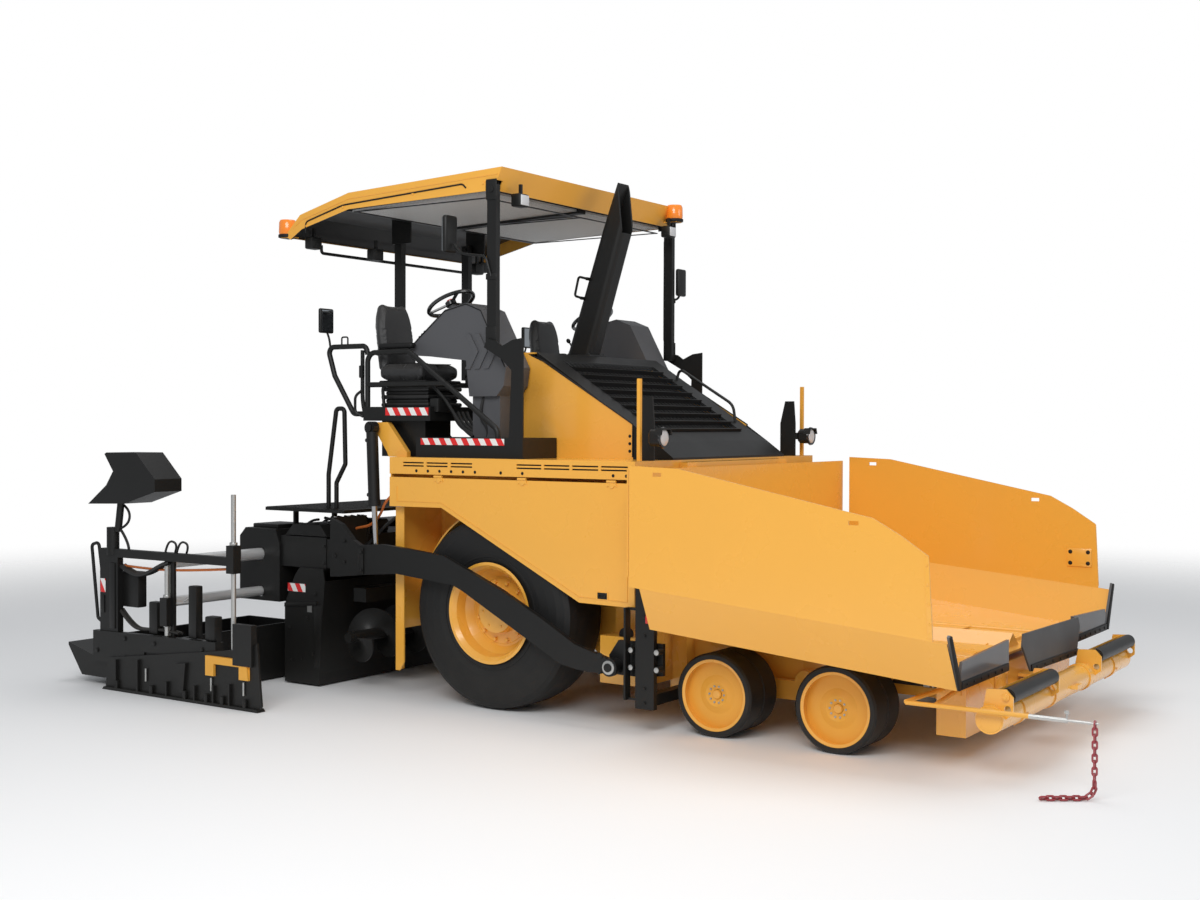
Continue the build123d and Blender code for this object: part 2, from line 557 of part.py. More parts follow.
def push_beam():
    """Tubular beam with ears and guards for the truck rollers, swinging on the front box."""
    tube = cross_bar(BUMPER_X, BUMPER_Z, BUMPER_RADIUS, (-BUMPER_HALF, BUMPER_HALF))
    ears = []
    ear_outline = [(BUMPER_X - 60, BUMPER_Z), (BUMPER_X - 30, ROLLER_Z + 36), (ROLLER_X, ROLLER_Z + 42),
                   (ROLLER_X + 40, ROLLER_Z), (ROLLER_X + 40, ROLLER_Z - 90), (BUMPER_X + 60, BUMPER_Z - 10)]
    for y in (ROLLER_Y[0] - 22, ROLLER_Y[1] + 8):
        ear = side_plate(ear_outline, (-y - EAR_THICK, -y))
        ears.append(ear - cross_bar(*TIE_HOLE, TIE_HOLE_RADIUS, (-y - EAR_THICK - 5, -y + 5)))
    pins = cross_bar(ROLLER_X, ROLLER_Z, 14, (-ROLLER_Y[1] - 10, -ROLLER_Y[0] + 10))
    straps = [cross_bar(BUMPER_X, BUMPER_Z, BUMPER_RADIUS + 7, (-y - 60, -y)) for y in STRAP_Y]
    guard = side_plate([(GUARD_X, ROLLER_Z + 28), (GUARD_X + 10, ROLLER_Z + 31), (GUARD_X + 12, ROLLER_Z - 60),
                        (GUARD_X, ROLLER_Z - 60)], (-ROLLER_Y[1] - 10, -ROLLER_Y[0] + 16))
    hook = floor_plate([(BUMPER_X + 60, -70), (BUMPER_X + 110, -45), (BUMPER_X + 110, 45), (BUMPER_X + 60, 70)],
                       (BUMPER_Z - 12, BUMPER_Z + 12))
    hook -= bar((BUMPER_X + 92, 0, BUMPER_Z - 20), (BUMPER_X + 92, 0, BUMPER_Z + 20), 9)
    tongue = floor_plate([(BUMPER_PIVOT_X - 45, -75), (BUMPER_X, -220), (BUMPER_X, 220), (BUMPER_PIVOT_X - 45, 75)],
                         (BUMPER_Z - 30, BUMPER_Z + 30))
    beam = joined([tube, both_sides(joined(ears + [pins, guard] + straps)), tongue, hook])
    return beam - bar((BUMPER_PIVOT_X, 0, BUMPER_Z - 50), (BUMPER_PIVOT_X, 0, BUMPER_Z + 50), 25 + PIN_GAP)


# nearer edge of each strap round the beam
STRAP_Y = (330, 900)
GUARD_X = 3496


def push_roller():
    return cross_bar(ROLLER_X, ROLLER_Z, ROLLER_RADIUS, (-ROLLER_Y[1] + 2, -ROLLER_Y[0] - 2)) - cross_bar(
        ROLLER_X, ROLLER_Z, 14 + PIN_GAP, (-ROLLER_Y[1], -ROLLER_Y[0]))


def bumper_bracket():
    """Clevis on the front box that carries the push beam's pin."""
    plates = [span_box((BOX_FRONT, BUMPER_PIVOT_X + 45), (-80, 80), (z, z + 20)) for z in (BUMPER_Z - 60, BUMPER_Z + 40)]
    pin = bar((BUMPER_PIVOT_X, 0, BUMPER_Z - 60), (BUMPER_PIVOT_X, 0, BUMPER_Z + 60), 25)
    return joined(plates + [pin])


def steering_guide():
    """Sight arm on the right: a bent tube on the front box with a rod that slides out."""
    long_tube = bar((3031, GUIDE_Y, 400), (3923, GUIDE_Y, 400), 13)
    brace = bar((3031, GUIDE_Y, 404), (3110, -1004, 430), 13)
    second = bar((3197, GUIDE_Y, 400), (3190, -1004, 430), 13)
    foot = span_box((3085, 3215), (-1010, -1000), (400, 460))
    rod = bar((3900, GUIDE_Y, 400), (CHAIN_X - 18, GUIDE_Y, 400), 8)
    tip = bar((CHAIN_X - 18, GUIDE_Y, 400), (CHAIN_X + 18, GUIDE_Y, 400), 5.5)
    return joined([long_tube, brace, second, foot, rod, tip])


def chain_link():
    """One flat oval link, long on X."""
    outer = SlotOverall(54, 32)
    inner = SlotOverall(36, 14)
    return extrude(outer - inner, amount=4, both=True)


LINK_PITCH = 34
LINK_COUNT = 19


def guide_chain():
    """Sight chain that hangs from the rod and trails on the ground, its links a quarter turn apart."""
    top = (CHAIN_X, GUIDE_Y, 391)
    path = FilletPolyline(top, (CHAIN_X, GUIDE_Y, 15), (3832, -1530, 15), radius=62)
    links = []
    for index in range(LINK_COUNT):
        place = path.location_at(index * LINK_PITCH, position_mode=PositionMode.LENGTH)
        along = path.tangent_at(index * LINK_PITCH, position_mode=PositionMode.LENGTH)
        flat = Vector(0, 0, 1).cross(along) if abs(along.Z) < 0.9 else Vector(0, 1, 0)
        plane = Plane(origin=place.position, x_dir=along, z_dir=flat.cross(along))
        roll = 45 + 90 * (index % 2) if index > 8 else 90 * (index % 2)
        links.append(plane * Rot(roll, 0, 0) * chain_link())
    return links


# ---- screed ---------------------------------------------------------------------------
ARM_TOP = [(-1363, 1263), (-1249, 1217), (-1140, 1110), (-1071, 1076), (-880, 1092), (-724, 1081), (-309, 1041), (181, 840),
           (509, 679), (787, 528), (1024, 464)]
ARM_LOW = [(980, 359), (803, 370), (670, 394), (-142, 812), (-223, 845), (-724, 893), (-1016, 870), (-1295, 840), (-1363, 837)]


def screed_arms():
    """Curved tow arms from the tow pins to the screed, with their rear brackets."""
    arm = side_plate(ARM_TOP + ARM_LOW, ARM_Y)
    eye = cross_bar(*TOW_PIN, 58, ARM_Y)
    hole = cross_bar(*TOW_PIN, 26 + PIN_GAP, (ARM_Y[0] - 5, ARM_Y[1] + 5))
    lug = cross_bar(*ROD_EYE, 34, (ARM_Y[1], ARM_Y[1] + 20))
    bracket = span_box((-1363, -1340), (-1330, -1000), (840, 1263))
    ribs = [span_box((-1530, -1350), (y, y + 12), (880, 1090)) for y in (-1225, -1010)]
    return both_sides(joined([arm + eye - hole, lug, bracket] + ribs))


def screed_main():
    """Main screed: sole, front and end plates, tunnel housing for the extension tubes."""
    end_outline = [(SCREED_REAR, 90), (SCREED_REAR, 590), (-1830, 810), (-1780, 872), (-1545, 872), (SCREED_FRONT, 780), (-1582, 95)]
    ends = both_sides(side_plate(end_outline, (-SCREED_HALF, -SCREED_HALF + 12)))
    front = side_plate([(SCREED_FRONT, 780), (-1582, 95), (-1594, 95), (SCREED_FRONT - 12, 780)], (-SCREED_HALF, SCREED_HALF))
    sole = span_box((SCREED_REAR, -1582), (-SCREED_HALF, SCREED_HALF), (12, 100))
    top = span_box((-1780, -1537), (-SCREED_HALF, SCREED_HALF), (860, 872))
    back = span_box((SCREED_REAR, SCREED_REAR + 12), (-SCREED_HALF, SCREED_HALF), (90, 590))
    upper = span_box((-1995, -1530), (-SCREED_HALF + 20, SCREED_HALF - 20), (872, 1100))
    upper -= span_box((-1980, -1545), (-SCREED_HALF + 35, SCREED_HALF - 35), (872, 1085))
    housing_outline = [(-2418, 600), (-2418, 1083), (-2355, 1147), (-2033, 1143), (-1990, 1029), (-1990, 600)]
    housing_core = [(-2406, 590), (-2406, 1078), (-2350, 1135), (-2040, 1131), (-2002, 1029), (-2002, 590)]
    housing = side_plate(housing_outline, (-SCREED_HALF, SCREED_HALF))
    housing -= side_plate(housing_core, (-SCREED_HALF + 15, SCREED_HALF - 15))
    for x, z, radius in EXTENSION_TUBES:
        housing -= cross_bar(x, z, radius + 6, (-SCREED_HALF - 5, SCREED_HALF + 5))
    return joined([ends, front, sole, top, back, upper, housing])


# chrome tubes that carry an extension: x, z, radius
EXTENSION_TUBES = [(-2200, 670, 36), (-2200, 952, 44)]


def screed_walkway():
    """Step plate on the screed, with two hooped handrails."""
    plate = span_box((-2150, -1340), (-1240, 1240), (1285, 1310))
    legs = [span_box((x, x + 20), (-1100, -1060), (1100, 1285)) for x in (-2000, -1600)]
    y = -1090
    rail = bent_tube([(-1640, y, 1310), (-1640, y, 1560), (-1560, y, 2050), (-1480, y, 2050), (-1470, y, 1640),
                      (-1560, y, 1500), (-1560, y, 1310)], 17, 30)
    return joined([plate, both_sides(joined(legs + [rail]))])


def screed_extension():
    """Extension on its chrome tubes: screed box, end frame, ribbed end gate, jacks and console."""
    tubes = [cross_bar(x, z, radius, (-2100, -850)) for x, z, radius in EXTENSION_TUBES]
    body = span_box((-2640, -2100), (-2150, -950), (12, 420))
    body -= span_box((-2625, -2115), (-2135, -965), (60, 430))
    foot = side_plate([(-2630, 60), (-2630, 200), (-2980, 200), (-3338, 291), (-3338, 270), (-3180, 60)], (-2110, -1500))
    stay = span_box((-2110, -1700), (-2110, -2060), (300, 420))
    link = span_box((-2250, -2150), (-2110, -2090), (420, 1022))
    return joined([body, foot, stay, link, end_gate(), end_frame(), end_console()] + tubes)


def end_gate():
    """Gate that closes the end of the screed, on a rail, with ribs on its outer face."""
    face = -GATE_Y + GATE_RIB
    gate = side_plate([(-2820, 0), (-2790, 230), (-1290, 420), (-1241, 462), (-1200, 40), (-1230, 0)],
                      (face, face + GATE_THICK))
    rail = side_plate([(-2830, 0), (-2812, 20), (-1228, 20), (-1215, 0)], (-GATE_Y, face + 50))
    ribs = [span_box((x, x + 14), (-GATE_Y, face), (10, height)) for x, height in GATE_RIBS]
    wedge = side_plate([(-2040, 255), (-1930, 270), (-1955, 60), (-2000, 60)], (-GATE_Y, face))
    slab = span_box((-1455, -1273), (-GATE_Y, -2150), (300, 580))
    return joined([gate, rail, wedge, slab] + ribs)


def end_frame():
    """Beams, column, jacks and grab rail above the end gate."""
    low_beam = side_plate([(-2980, 190), (-2980, 415), (-1667, 430), (-1667, 305), (-2410, 300), (-2410, 190)],
                          (-2162, -2110))
    column = span_box((-2914, -2715), (-2150, -2100), (400, 975))
    high_beam = span_box((-2914, -1500), (-2150, -2100), (962, 1022))
    jacks = [bar((x, JACK_Y, low), (x, JACK_Y, high), 17) for x, low, high in JACKS]
    sleeves = [span_box((x - 36, x + 36), (JACK_Y - 35, JACK_Y + 35), (low, high)) for x, low, high in JACK_SLEEVES]
    bracket = side_plate([(-1732, 341), (-1330, 341), (-1311, 205), (-1400, 205), (-1400, 290), (-1650, 290),
                          (-1650, 205), (-1732, 205)], (-2195, -2110))
    grab = bent_tube([(-2905, JACK_Y, 470), (-2970, JACK_Y, 500), (-3040, JACK_Y, 1040), (-2960, JACK_Y, 1060),
                      (-2900, JACK_Y, 720)], 12, 28)
    return joined([low_beam, column, high_beam, bracket, grab] + jacks + sleeves)


def end_console():
    """Hooded control box on a mast over the end frame."""
    mast_post = bar((-2797, JACK_Y, 975), (-2797, JACK_Y, 1178), 45)
    mast = bar((-2740, JACK_Y, 1150), (-2700, JACK_Y, 1400), 26)
    outline = [(-2983, 1346), (-2778, 1487), (-2701, 1590), (-2796, 1714), (-2774, 1725), (-2447, 1727),
               (-2245, 1541), (-2245, 1452), (-2574, 1359)]
    box = side_plate(outline, (-2200, -1960))
    under = side_plate([(-2700, 1604), (-2650, 1560), (-2470, 1560), (-2430, 1640), (-2480, 1700), (-2740, 1700)],
                       (-2180, -1940))
    return joined([mast_post, mast, box - under + side_plate([(-2701, 1590), (-2650, 1545), (-2440, 1545), (-2400, 1600),
                                                              (-2447, 1727), (-2774, 1725)], (-2085, -2075))])


GATE_RIB = 22
GATE_THICK = 16
# ribs on the gate: rear edge, height of the top
GATE_RIBS = [(-2690, 225), (-2450, 245), (-2140, 120), (-1850, 120), (-1660, 140), (-1500, 165)]
JACK_Y = -2125
# jack screws: x, lower end, upper end
JACKS = [(-1525, 340, 1451), (-2207, 420, 926)]
# sleeves the jack screws run in: x, lower end, upper end
JACK_SLEEVES = [(-1525, 912, 1103), (-2207, 500, 700)]


def tow_carriage():
    """Tow-point slide: plate with four rollers, the tow pin and its lug."""
    plate = side_plate([(990, 350), (990, 470), (1060, 570), (1390, 570), (1390, 370), (1200, 350)], CARRIAGE_Y)
    pin = cross_bar(*TOW_PIN, 26, (ARM_Y[0], CARRIAGE_Y[0]))
    shoulder = cross_bar(*TOW_PIN, 50, (ARM_Y[1] + 5, CARRIAGE_Y[0]))
    rollers = []
    for x in (1190, 1381):
        for z in (416, 525):
            rollers.append(cross_bar(x, z, 21, (-1330, CARRIAGE_Y[0])))
    return joined([plate, pin, shoulder] + rollers)


def tow_guides():
    """Upright guide bars for the tow points, with their spacers."""
    plate = span_box((1217, 1354), (-1318, -1280), (160, 1000))
    strip = span_box((1150, 1164), (-1350, -1290), (210, 790))
    tab = [span_box((1150, 1217), (-1318, -1290), (z, z + 15)) for z in (210, 775)]
    spacers = [span_box((1225, 1295), (-1280, -FRAME_Y - FRAME_WEB), z) for z in ((900, 1000), (165, 235))]
    return both_sides(joined([plate, strip] + tab + spacers))


def lift_barrel():
    """Lift cylinder barrel hung on the deck bracket, with its gland and two port bosses."""
    foot = Vector(ROD_EYE[0], LIFT_Y, ROD_EYE[1])
    head = Vector(LIFT_PIN[0], LIFT_Y, LIFT_PIN[1])
    along = (foot - head).normalized()
    barrel = bar(head + along * 30, head + along * 520, 42) + bar(head + along * 515, head + along * 560, 48)
    for reach in (90, 480):
        port = head + along * reach
        barrel += bar(port, port + Vector(-58, 0, 0), 14)
    barrel -= bar(head + along * 80, head + along * 565, 26)
    eye = cross_bar(*LIFT_PIN, 45, (LIFT_Y - 30, LIFT_Y + 30))
    return barrel + eye - cross_bar(*LIFT_PIN, 22 + PIN_GAP, (LIFT_Y - 60, LIFT_Y + 60))


def lift_rod():
    """Lift cylinder rod with its lower eye."""
    foot = Vector(ROD_EYE[0], LIFT_Y, ROD_EYE[1])
    head = Vector(LIFT_PIN[0], LIFT_Y, LIFT_PIN[1])
    along = (foot - head).normalized()
    rod = bar(head + along * 350, foot, 20)
    eye = cross_bar(*ROD_EYE, 36, (LIFT_Y - 24, LIFT_Y + 24))
    return rod + eye - cross_bar(*ROD_EYE, 20, (LIFT_Y - 60, LIFT_Y + 60))


def auger():
    """Spreading auger: shaft with a screw flight and a bare stub for a longer one."""
    shaft = cross_bar(AUGER_X, AUGER_Z, AUGER_SHAFT, (-AUGER_END + AUGER_STUB_LENGTH, -110))
    stub = cross_bar(AUGER_X, AUGER_Z, AUGER_STUB, (-AUGER_END, -AUGER_END + AUGER_STUB_LENGTH))
    path = Helix(pitch=FLIGHT_PITCH, height=FLIGHT_LENGTH, radius=AUGER_SHAFT)
    section = Plane.XZ * Pos((AUGER_SHAFT + AUGER_RADIUS) / 2 - 3, 0) * Rectangle(
        AUGER_RADIUS - AUGER_SHAFT + 6, FLIGHT_THICK)
    flight = sweep(section, path=path, is_frenet=True)
    screw = Pos(AUGER_X, -AUGER_END + AUGER_STUB_LENGTH + 10, AUGER_Z) * Rot(-90, 0, 0) * flight
    return joined([shaft, stub, screw])


def auger_frame():
    """Cross beam over the augers with the middle gear case."""
    beam = span_box((-1330, -1210), (-1150, 1150), (640, 740))
    case = span_box((-1340, -1200), (-100, 100), (300, 640))
    arms = both_sides(span_box((-1210, -900), (-620, -560), (640, 740)))
    return joined([beam, case, arms])


# ---- all nodes ------------------------------------------------------------------------
save("main_frame", main_frame())
save("axle_beams", axle_beams())
save("engine_block", span_box((-350, 550), (-350, 350), (830, 1480)))
save("body_sides", body_sides())
save("engine_hood", engine_hood())
save("hood_grille", hood_grille())
save("fume_stack", fume_stack())
save("marker_lamps", marker_lamps())
save("operator_platform", operator_platform())
save("platform_rails", platform_rails())
save("seats", seats())
save("consoles", consoles())
save("hopper_floor", hopper_floor())
save("hopper_apron", hopper_apron())
save("bumper_bracket", bumper_bracket())
save("steering_guide", steering_guide())
save("guide_chain", Compound(children=guide_chain()))
save("tow_guides", tow_guides())
save("auger_frame", auger_frame())
save_pair("drive_tyre", drive_tyre())
save_pair("drive_rim", drive_rim())
for name, wheel_x in zip(("front", "middle"), FRONT_WHEEL_X):
    save_pair(f"knuckle_{name}", knuckle(wheel_x))
    save_pair(f"wheel_{name}", front_wheel(wheel_x))
save_pair("side_door", side_door())
save_pair("steering_wheel", steering_wheel())
save("canopy_roof", canopy_roof())
save("canopy_frame", canopy_frame())
save("canopy_ceiling", canopy_ceiling())
save("canopy_front_posts", both_sides(canopy_front_posts()))
save("canopy_rear_posts", both_sides(canopy_rear_posts()))
save_pair("hopper_wing", hopper_wing())
save("push_beam", push_beam())
save_pair("push_roller", push_roller())
save_pair("tow_carriage", tow_carriage())
save("screed_arms", screed_arms())
save("screed_main", screed_main())
save("screed_walkway", screed_walkway())
save_pair("screed_extension", screed_extension())
save_pair("lift_barrel", lift_barrel())
save_pair("lift_rod", lift_rod())
save_pair("auger", auger())
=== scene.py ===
"""Finishes a wheeled asphalt paver: paint, rubber, glass, seats and the small pieces on its frame.

Places are in metres. X is measured from the drive axle, forward; Y is the machine's left; Z is up.
Every finished piece is moved by AXLE_X at the end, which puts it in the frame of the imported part.
"""
import json
import math

import bpy
from bpy.props import FloatProperty, FloatVectorProperty, PointerProperty
from mathutils import Matrix, Vector

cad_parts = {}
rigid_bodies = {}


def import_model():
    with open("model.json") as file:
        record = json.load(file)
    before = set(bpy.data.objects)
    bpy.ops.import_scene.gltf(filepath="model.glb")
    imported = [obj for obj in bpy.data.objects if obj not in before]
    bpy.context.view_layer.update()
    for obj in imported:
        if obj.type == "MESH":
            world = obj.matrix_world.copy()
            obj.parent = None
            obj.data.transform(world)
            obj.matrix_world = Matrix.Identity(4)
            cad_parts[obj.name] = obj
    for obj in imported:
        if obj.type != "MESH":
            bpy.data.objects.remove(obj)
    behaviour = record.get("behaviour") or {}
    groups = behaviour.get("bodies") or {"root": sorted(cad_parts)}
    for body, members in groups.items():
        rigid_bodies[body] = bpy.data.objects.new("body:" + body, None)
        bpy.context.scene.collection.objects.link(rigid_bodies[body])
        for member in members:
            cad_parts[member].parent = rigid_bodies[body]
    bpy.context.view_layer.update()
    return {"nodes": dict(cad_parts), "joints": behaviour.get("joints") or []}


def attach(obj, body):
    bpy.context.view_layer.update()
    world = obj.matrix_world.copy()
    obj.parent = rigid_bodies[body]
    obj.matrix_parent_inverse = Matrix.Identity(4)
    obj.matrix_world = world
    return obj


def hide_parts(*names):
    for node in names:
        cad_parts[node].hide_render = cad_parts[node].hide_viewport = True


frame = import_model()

bl_info = {
    "name": "Asphalt paver finish",
    "version": (1, 0, 0),
    "blender": (4, 5, 0),
    "location": "View3D > Sidebar > Paver",
    "description": "Paints a wheeled asphalt paver and adds its seats, lamps, hoses and fastenings",
    "category": "Object",
}

JOINTS = {joint["name"]: joint for joint in frame["joints"]}
AXLE_X = JOINTS["drive_spin_right"]["pos_m"][0]
SIDES = ("right", "left")
# ways that a right-hand piece may face
OUT, AHEAD, UP = (0, -1, 0), (1, 0, 0), (0, 0, 1)


def pivot(joint):
    """A joint's place, with X from the drive axle."""
    x, y, z = JOINTS[joint]["pos_m"]
    return Vector((x - AXLE_X, y, z))


# ---- modelling helpers ----------------------------------------------------------------
def clear_selection():
    bpy.ops.object.select_all(action="DESELECT")


def pick(obj):
    """Makes one object the only one selected, and active."""
    clear_selection()
    obj.select_set(True)
    bpy.context.view_layer.objects.active = obj
    return obj


def bake_place(obj):
    pick(obj)
    bpy.ops.object.transform_apply(location=True, rotation=True, scale=True)
    return obj


def apply_modifier(obj, kind, **settings):
    """Adds a modifier with its settings and applies it."""
    pick(obj)
    modifier = obj.modifiers.new(kind.title(), kind)
    for key, value in settings.items():
        setattr(modifier, key, value)
    bpy.ops.object.modifier_apply(modifier=modifier.name)
    return obj


def rounded(obj, width, segments=2):
    return apply_modifier(obj, "BEVEL", width=width, segments=segments, limit_method="ANGLE")


def outward(obj):
    """Merges doubles and turns the faces outwards."""
    pick(obj)
    bpy.ops.object.mode_set(mode="EDIT")
    bpy.ops.mesh.select_all(action="SELECT")
    bpy.ops.mesh.remove_doubles(threshold=1e-5)
    bpy.ops.mesh.normals_make_consistent(inside=False)
    bpy.ops.object.mode_set(mode="OBJECT")
    return obj


def block(low, high, edge=0.0, segments=2):
    """A box between two corners, its edges rounded."""
    low, high = Vector(low), Vector(high)
    size = [abs(b - a) for a, b in zip(low, high)]
    bpy.ops.mesh.primitive_cube_add(size=1, location=(low + high) / 2, scale=size)
    obj = bake_place(bpy.context.object)
    return rounded(obj, edge, segments) if edge else obj


def rod(start, end, radius, sides=20, edge=0.0):
    """A round bar from one point to another."""
    start, end = Vector(start), Vector(end)
    line = end - start
    bpy.ops.mesh.primitive_cylinder_add(vertices=sides, radius=radius, depth=line.length,
                                        location=(start + end) / 2,
                                        rotation=line.to_track_quat("Z", "Y").to_euler())
    obj = bake_place(bpy.context.object)
    return rounded(obj, edge) if edge else obj


def ball(centre, radii, segments=20):
    bpy.ops.mesh.primitive_uv_sphere_add(segments=segments, ring_count=segments // 2, radius=1,
                                         location=centre, scale=radii)
    return bake_place(bpy.context.object)


def curve_to_mesh(curve):
    obj = bpy.data.objects.new(curve.name, curve)
    bpy.context.collection.objects.link(obj)
    pick(obj)
    bpy.ops.object.convert(target="MESH")
    return bpy.context.object


def curve_mesh(points, kind, radius, sides=3):
    """A tube that follows points: POLY for straight runs, NURBS for a smooth line."""
    curve = bpy.data.curves.new("line", "CURVE")
    curve.dimensions = "3D"
    curve.bevel_depth = radius
    curve.bevel_resolution = sides
    curve.use_fill_caps = True
    spline = curve.splines.new(kind)
    spline.points.add(len(points) - 1)
    for point, place in zip(spline.points, points):
        point.co = (*place, 1)
    if kind == "NURBS":
        spline.order_u = 3
        spline.use_endpoint_u = True
        spline.resolution_u = 6
    return curve_to_mesh(curve)


# straight steps in each bend of a tube
BEND_STEPS = 5


def round_corners(points, bend):
    """Straight runs whose corners are replaced by short arcs."""
    path = [Vector(points[0])]
    for before, corner, after in zip(points, points[1:], points[2:]):
        before, corner, after = Vector(before), Vector(corner), Vector(after)
        back, ahead = (before - corner), (after - corner)
        reach = min(bend, back.length * 0.45, ahead.length * 0.45)
        start, end = corner + back.normalized() * reach, corner + ahead.normalized() * reach
        for step in range(BEND_STEPS + 1):
            t = step / BEND_STEPS
            path.append(start * (1 - t) ** 2 + corner * 2 * t * (1 - t) + end * t ** 2)
    return path + [Vector(points[-1])]


def bent_tube(points, radius, bend):
    return curve_mesh(round_corners(points, bend), "POLY", radius)


def hose(points, radius):
    return curve_mesh(points, "NURBS", radius, 2)


PLANE_TURN = {
    "XZ": Matrix.Rotation(math.pi / 2, 4, "X"),
    "YZ": Matrix.Rotation(math.pi / 2, 4, "Z") @ Matrix.Rotation(math.pi / 2, 4, "X"),
    "XY": Matrix.Identity(4),
}
PLANE_NORMAL = {"XZ": Vector((0, 1, 0)), "YZ": Vector((1, 0, 0)), "XY": Vector((0, 0, 1))}


def plate(outline, plane, span, edge=0.0, holes=()):
    """A flat shape drawn in one plane, with thickness between two places across it."""
    curve = bpy.data.curves.new("plate", "CURVE")
    curve.dimensions = "2D"
    curve.fill_mode = "BOTH"
    thick = abs(span[1] - span[0])
    curve.extrude = thick / 2 - edge
    curve.bevel_depth = edge
    curve.bevel_resolution = 1
    curve.offset = -edge
    for loop in (outline, *holes):
        spline = curve.splines.new("POLY")
        spline.points.add(len(loop) - 1)
        for point, (u, v) in zip(spline.points, loop):
            point.co = (u, v, 0, 1)
        spline.use_cyclic_u = True
    obj = curve_to_mesh(curve)
    middle = PLANE_NORMAL[plane] * (span[0] + span[1]) / 2
    obj.data.transform(Matrix.Translation(middle) @ PLANE_TURN[plane])
    return outward(obj)


def turned(profile, centre, sides):
    """A (radius, y) profile turned about the Y axis through a centre."""
    curve = bpy.data.curves.new("profile", "CURVE")
    curve.dimensions = "3D"
    spline = curve.splines.new("POLY")
    spline.points.add(len(profile) - 1)
    for point, (radius, y) in zip(spline.points, profile):
        point.co = (radius, y, 0, 1)
    spline.use_cyclic_u = True
    obj = curve_to_mesh(curve)
    apply_modifier(obj, "SCREW", axis="Y", angle=2 * math.pi, steps=sides, render_steps=sides,
                   use_merge_vertices=True, merge_threshold=1e-4)
    obj.data.transform(Matrix.Translation(centre))
    return outward(obj)


def join(parts):
    """All the parts as one object."""
    parts = list(parts)
    clear_selection()
    for part in parts:
        part.select_set(True)
    bpy.context.view_layer.objects.active = parts[0]
    if len(parts) > 1:
        bpy.ops.object.join()
    return bpy.context.object


def copy_moved(obj, matrix):
    """A copy with its own mesh, moved by a matrix."""
    twin = obj.copy()
    twin.data = obj.data.copy()
    twin.data.transform(matrix)
    if matrix.determinant() < 0:
        twin.data.flip_normals()
    bpy.context.collection.objects.link(twin)
    return twin


def at_places(obj, places):
    """One object repeated at offsets, joined; the first one goes to the first place."""
    copies = [copy_moved(obj, Matrix.Translation(place)) for place in places]
    bpy.data.objects.remove(obj)
    return join(copies)


def round_y(obj, centre, count, start=0.0):
    """One object repeated evenly round a Y axis through a centre."""
    copies = []
    for index in range(count):
        turn = Matrix.Rotation(start + 2 * math.pi * index / count, 4, "Y")
        copies.append(copy_moved(obj,
                                 Matrix.Translation(centre) @ turn @ Matrix.Translation(-Vector(centre))))
    bpy.data.objects.remove(obj)
    return join(copies)


def bolt(place, normal, radius=0.011, height=0.008):
    """A washer with a six-sided head, standing on a surface."""
    place, normal = Vector(place), Vector(normal)
    washer = rod(place, place + normal * height * 0.3, radius * 1.35, 16)
    head = rod(place, place + normal * height * 1.3, radius, 6, edge=radius * 0.12)
    return join([washer, head])


def bolts(places, normal, radius=0.011, height=0.008):
    first = bolt((0, 0, 0), normal, radius, height)
    return at_places(first, places)


FINISH = {}


def dress(obj, name, body, finish, angle=35):
    """Joins a list, moves the piece to the part's frame, paints it and lets it ride on its body."""
    obj = bake_place(join(obj) if isinstance(obj, list) else obj)
    obj.data.transform(Matrix.Translation((AXLE_X, 0, 0)))
    pick(obj)
    bpy.ops.object.shade_smooth_by_angle(angle=math.radians(angle))
    obj.name = name
    obj.data.name = name
    obj.data.materials.clear()
    obj.data.materials.append(FINISH[finish])
    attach(obj, body)
    return obj


def dress_pair(obj, name, body, finish, angle=35):
    """Dresses a right-hand piece and its mirror image; a body that is one of a pair ends in a star."""
    obj = join(obj) if isinstance(obj, list) else obj
    twin = copy_moved(obj, Matrix.Scale(-1, 4, (0, 1, 0)))
    pieces = []
    for side, piece in zip(SIDES, (obj, twin)):
        pieces.append(dress(piece, f"{name}_{side}", body.replace("*", side), finish, angle))
    return pieces


# ---- shared shader groups -------------------------------------------------------------
def new_group(name, inputs, outputs):
    """An empty shader group with named sockets and its two end nodes."""
    group = bpy.data.node_groups.new(name, "ShaderNodeTree")
    for label, kind, value in inputs:
        socket = group.interface.new_socket(label, in_out="INPUT", socket_type=kind)
        if value is not None:
            socket.default_value = value
    for label, kind in outputs:
        group.interface.new_socket(label, in_out="OUTPUT", socket_type=kind)
    nodes = group.nodes
    return group, nodes.new("NodeGroupInput"), nodes.new("NodeGroupOutput")


def set_sockets(node, **values):
    """Sets a node's inputs by label, with underscores for spaces."""
    for label, value in values.items():
        node.inputs[label.replace("_", " ")].default_value = value
    return node


def add_math(nodes, links, operation, first, second=None):
    """A Math node whose inputs are sockets or numbers."""
    node = nodes.new("ShaderNodeMath")
    node.operation = operation
    for socket, value in zip(node.inputs, (first, second)):
        if value is None:
            continue
        if isinstance(value, (int, float)):
            socket.default_value = value
        else:
            links.new(value, socket)
    return node.outputs[0]


def place_on(nodes):
    """The place on a piece in its own coordinates."""
    return nodes.new("ShaderNodeTexCoord").outputs["Object"]


def axes_of(nodes, links, socket):
    """The X, Y and Z outputs of a vector."""
    split = nodes.new("ShaderNodeSeparateXYZ")
    links.new(socket, split.inputs[0])
    return split.outputs


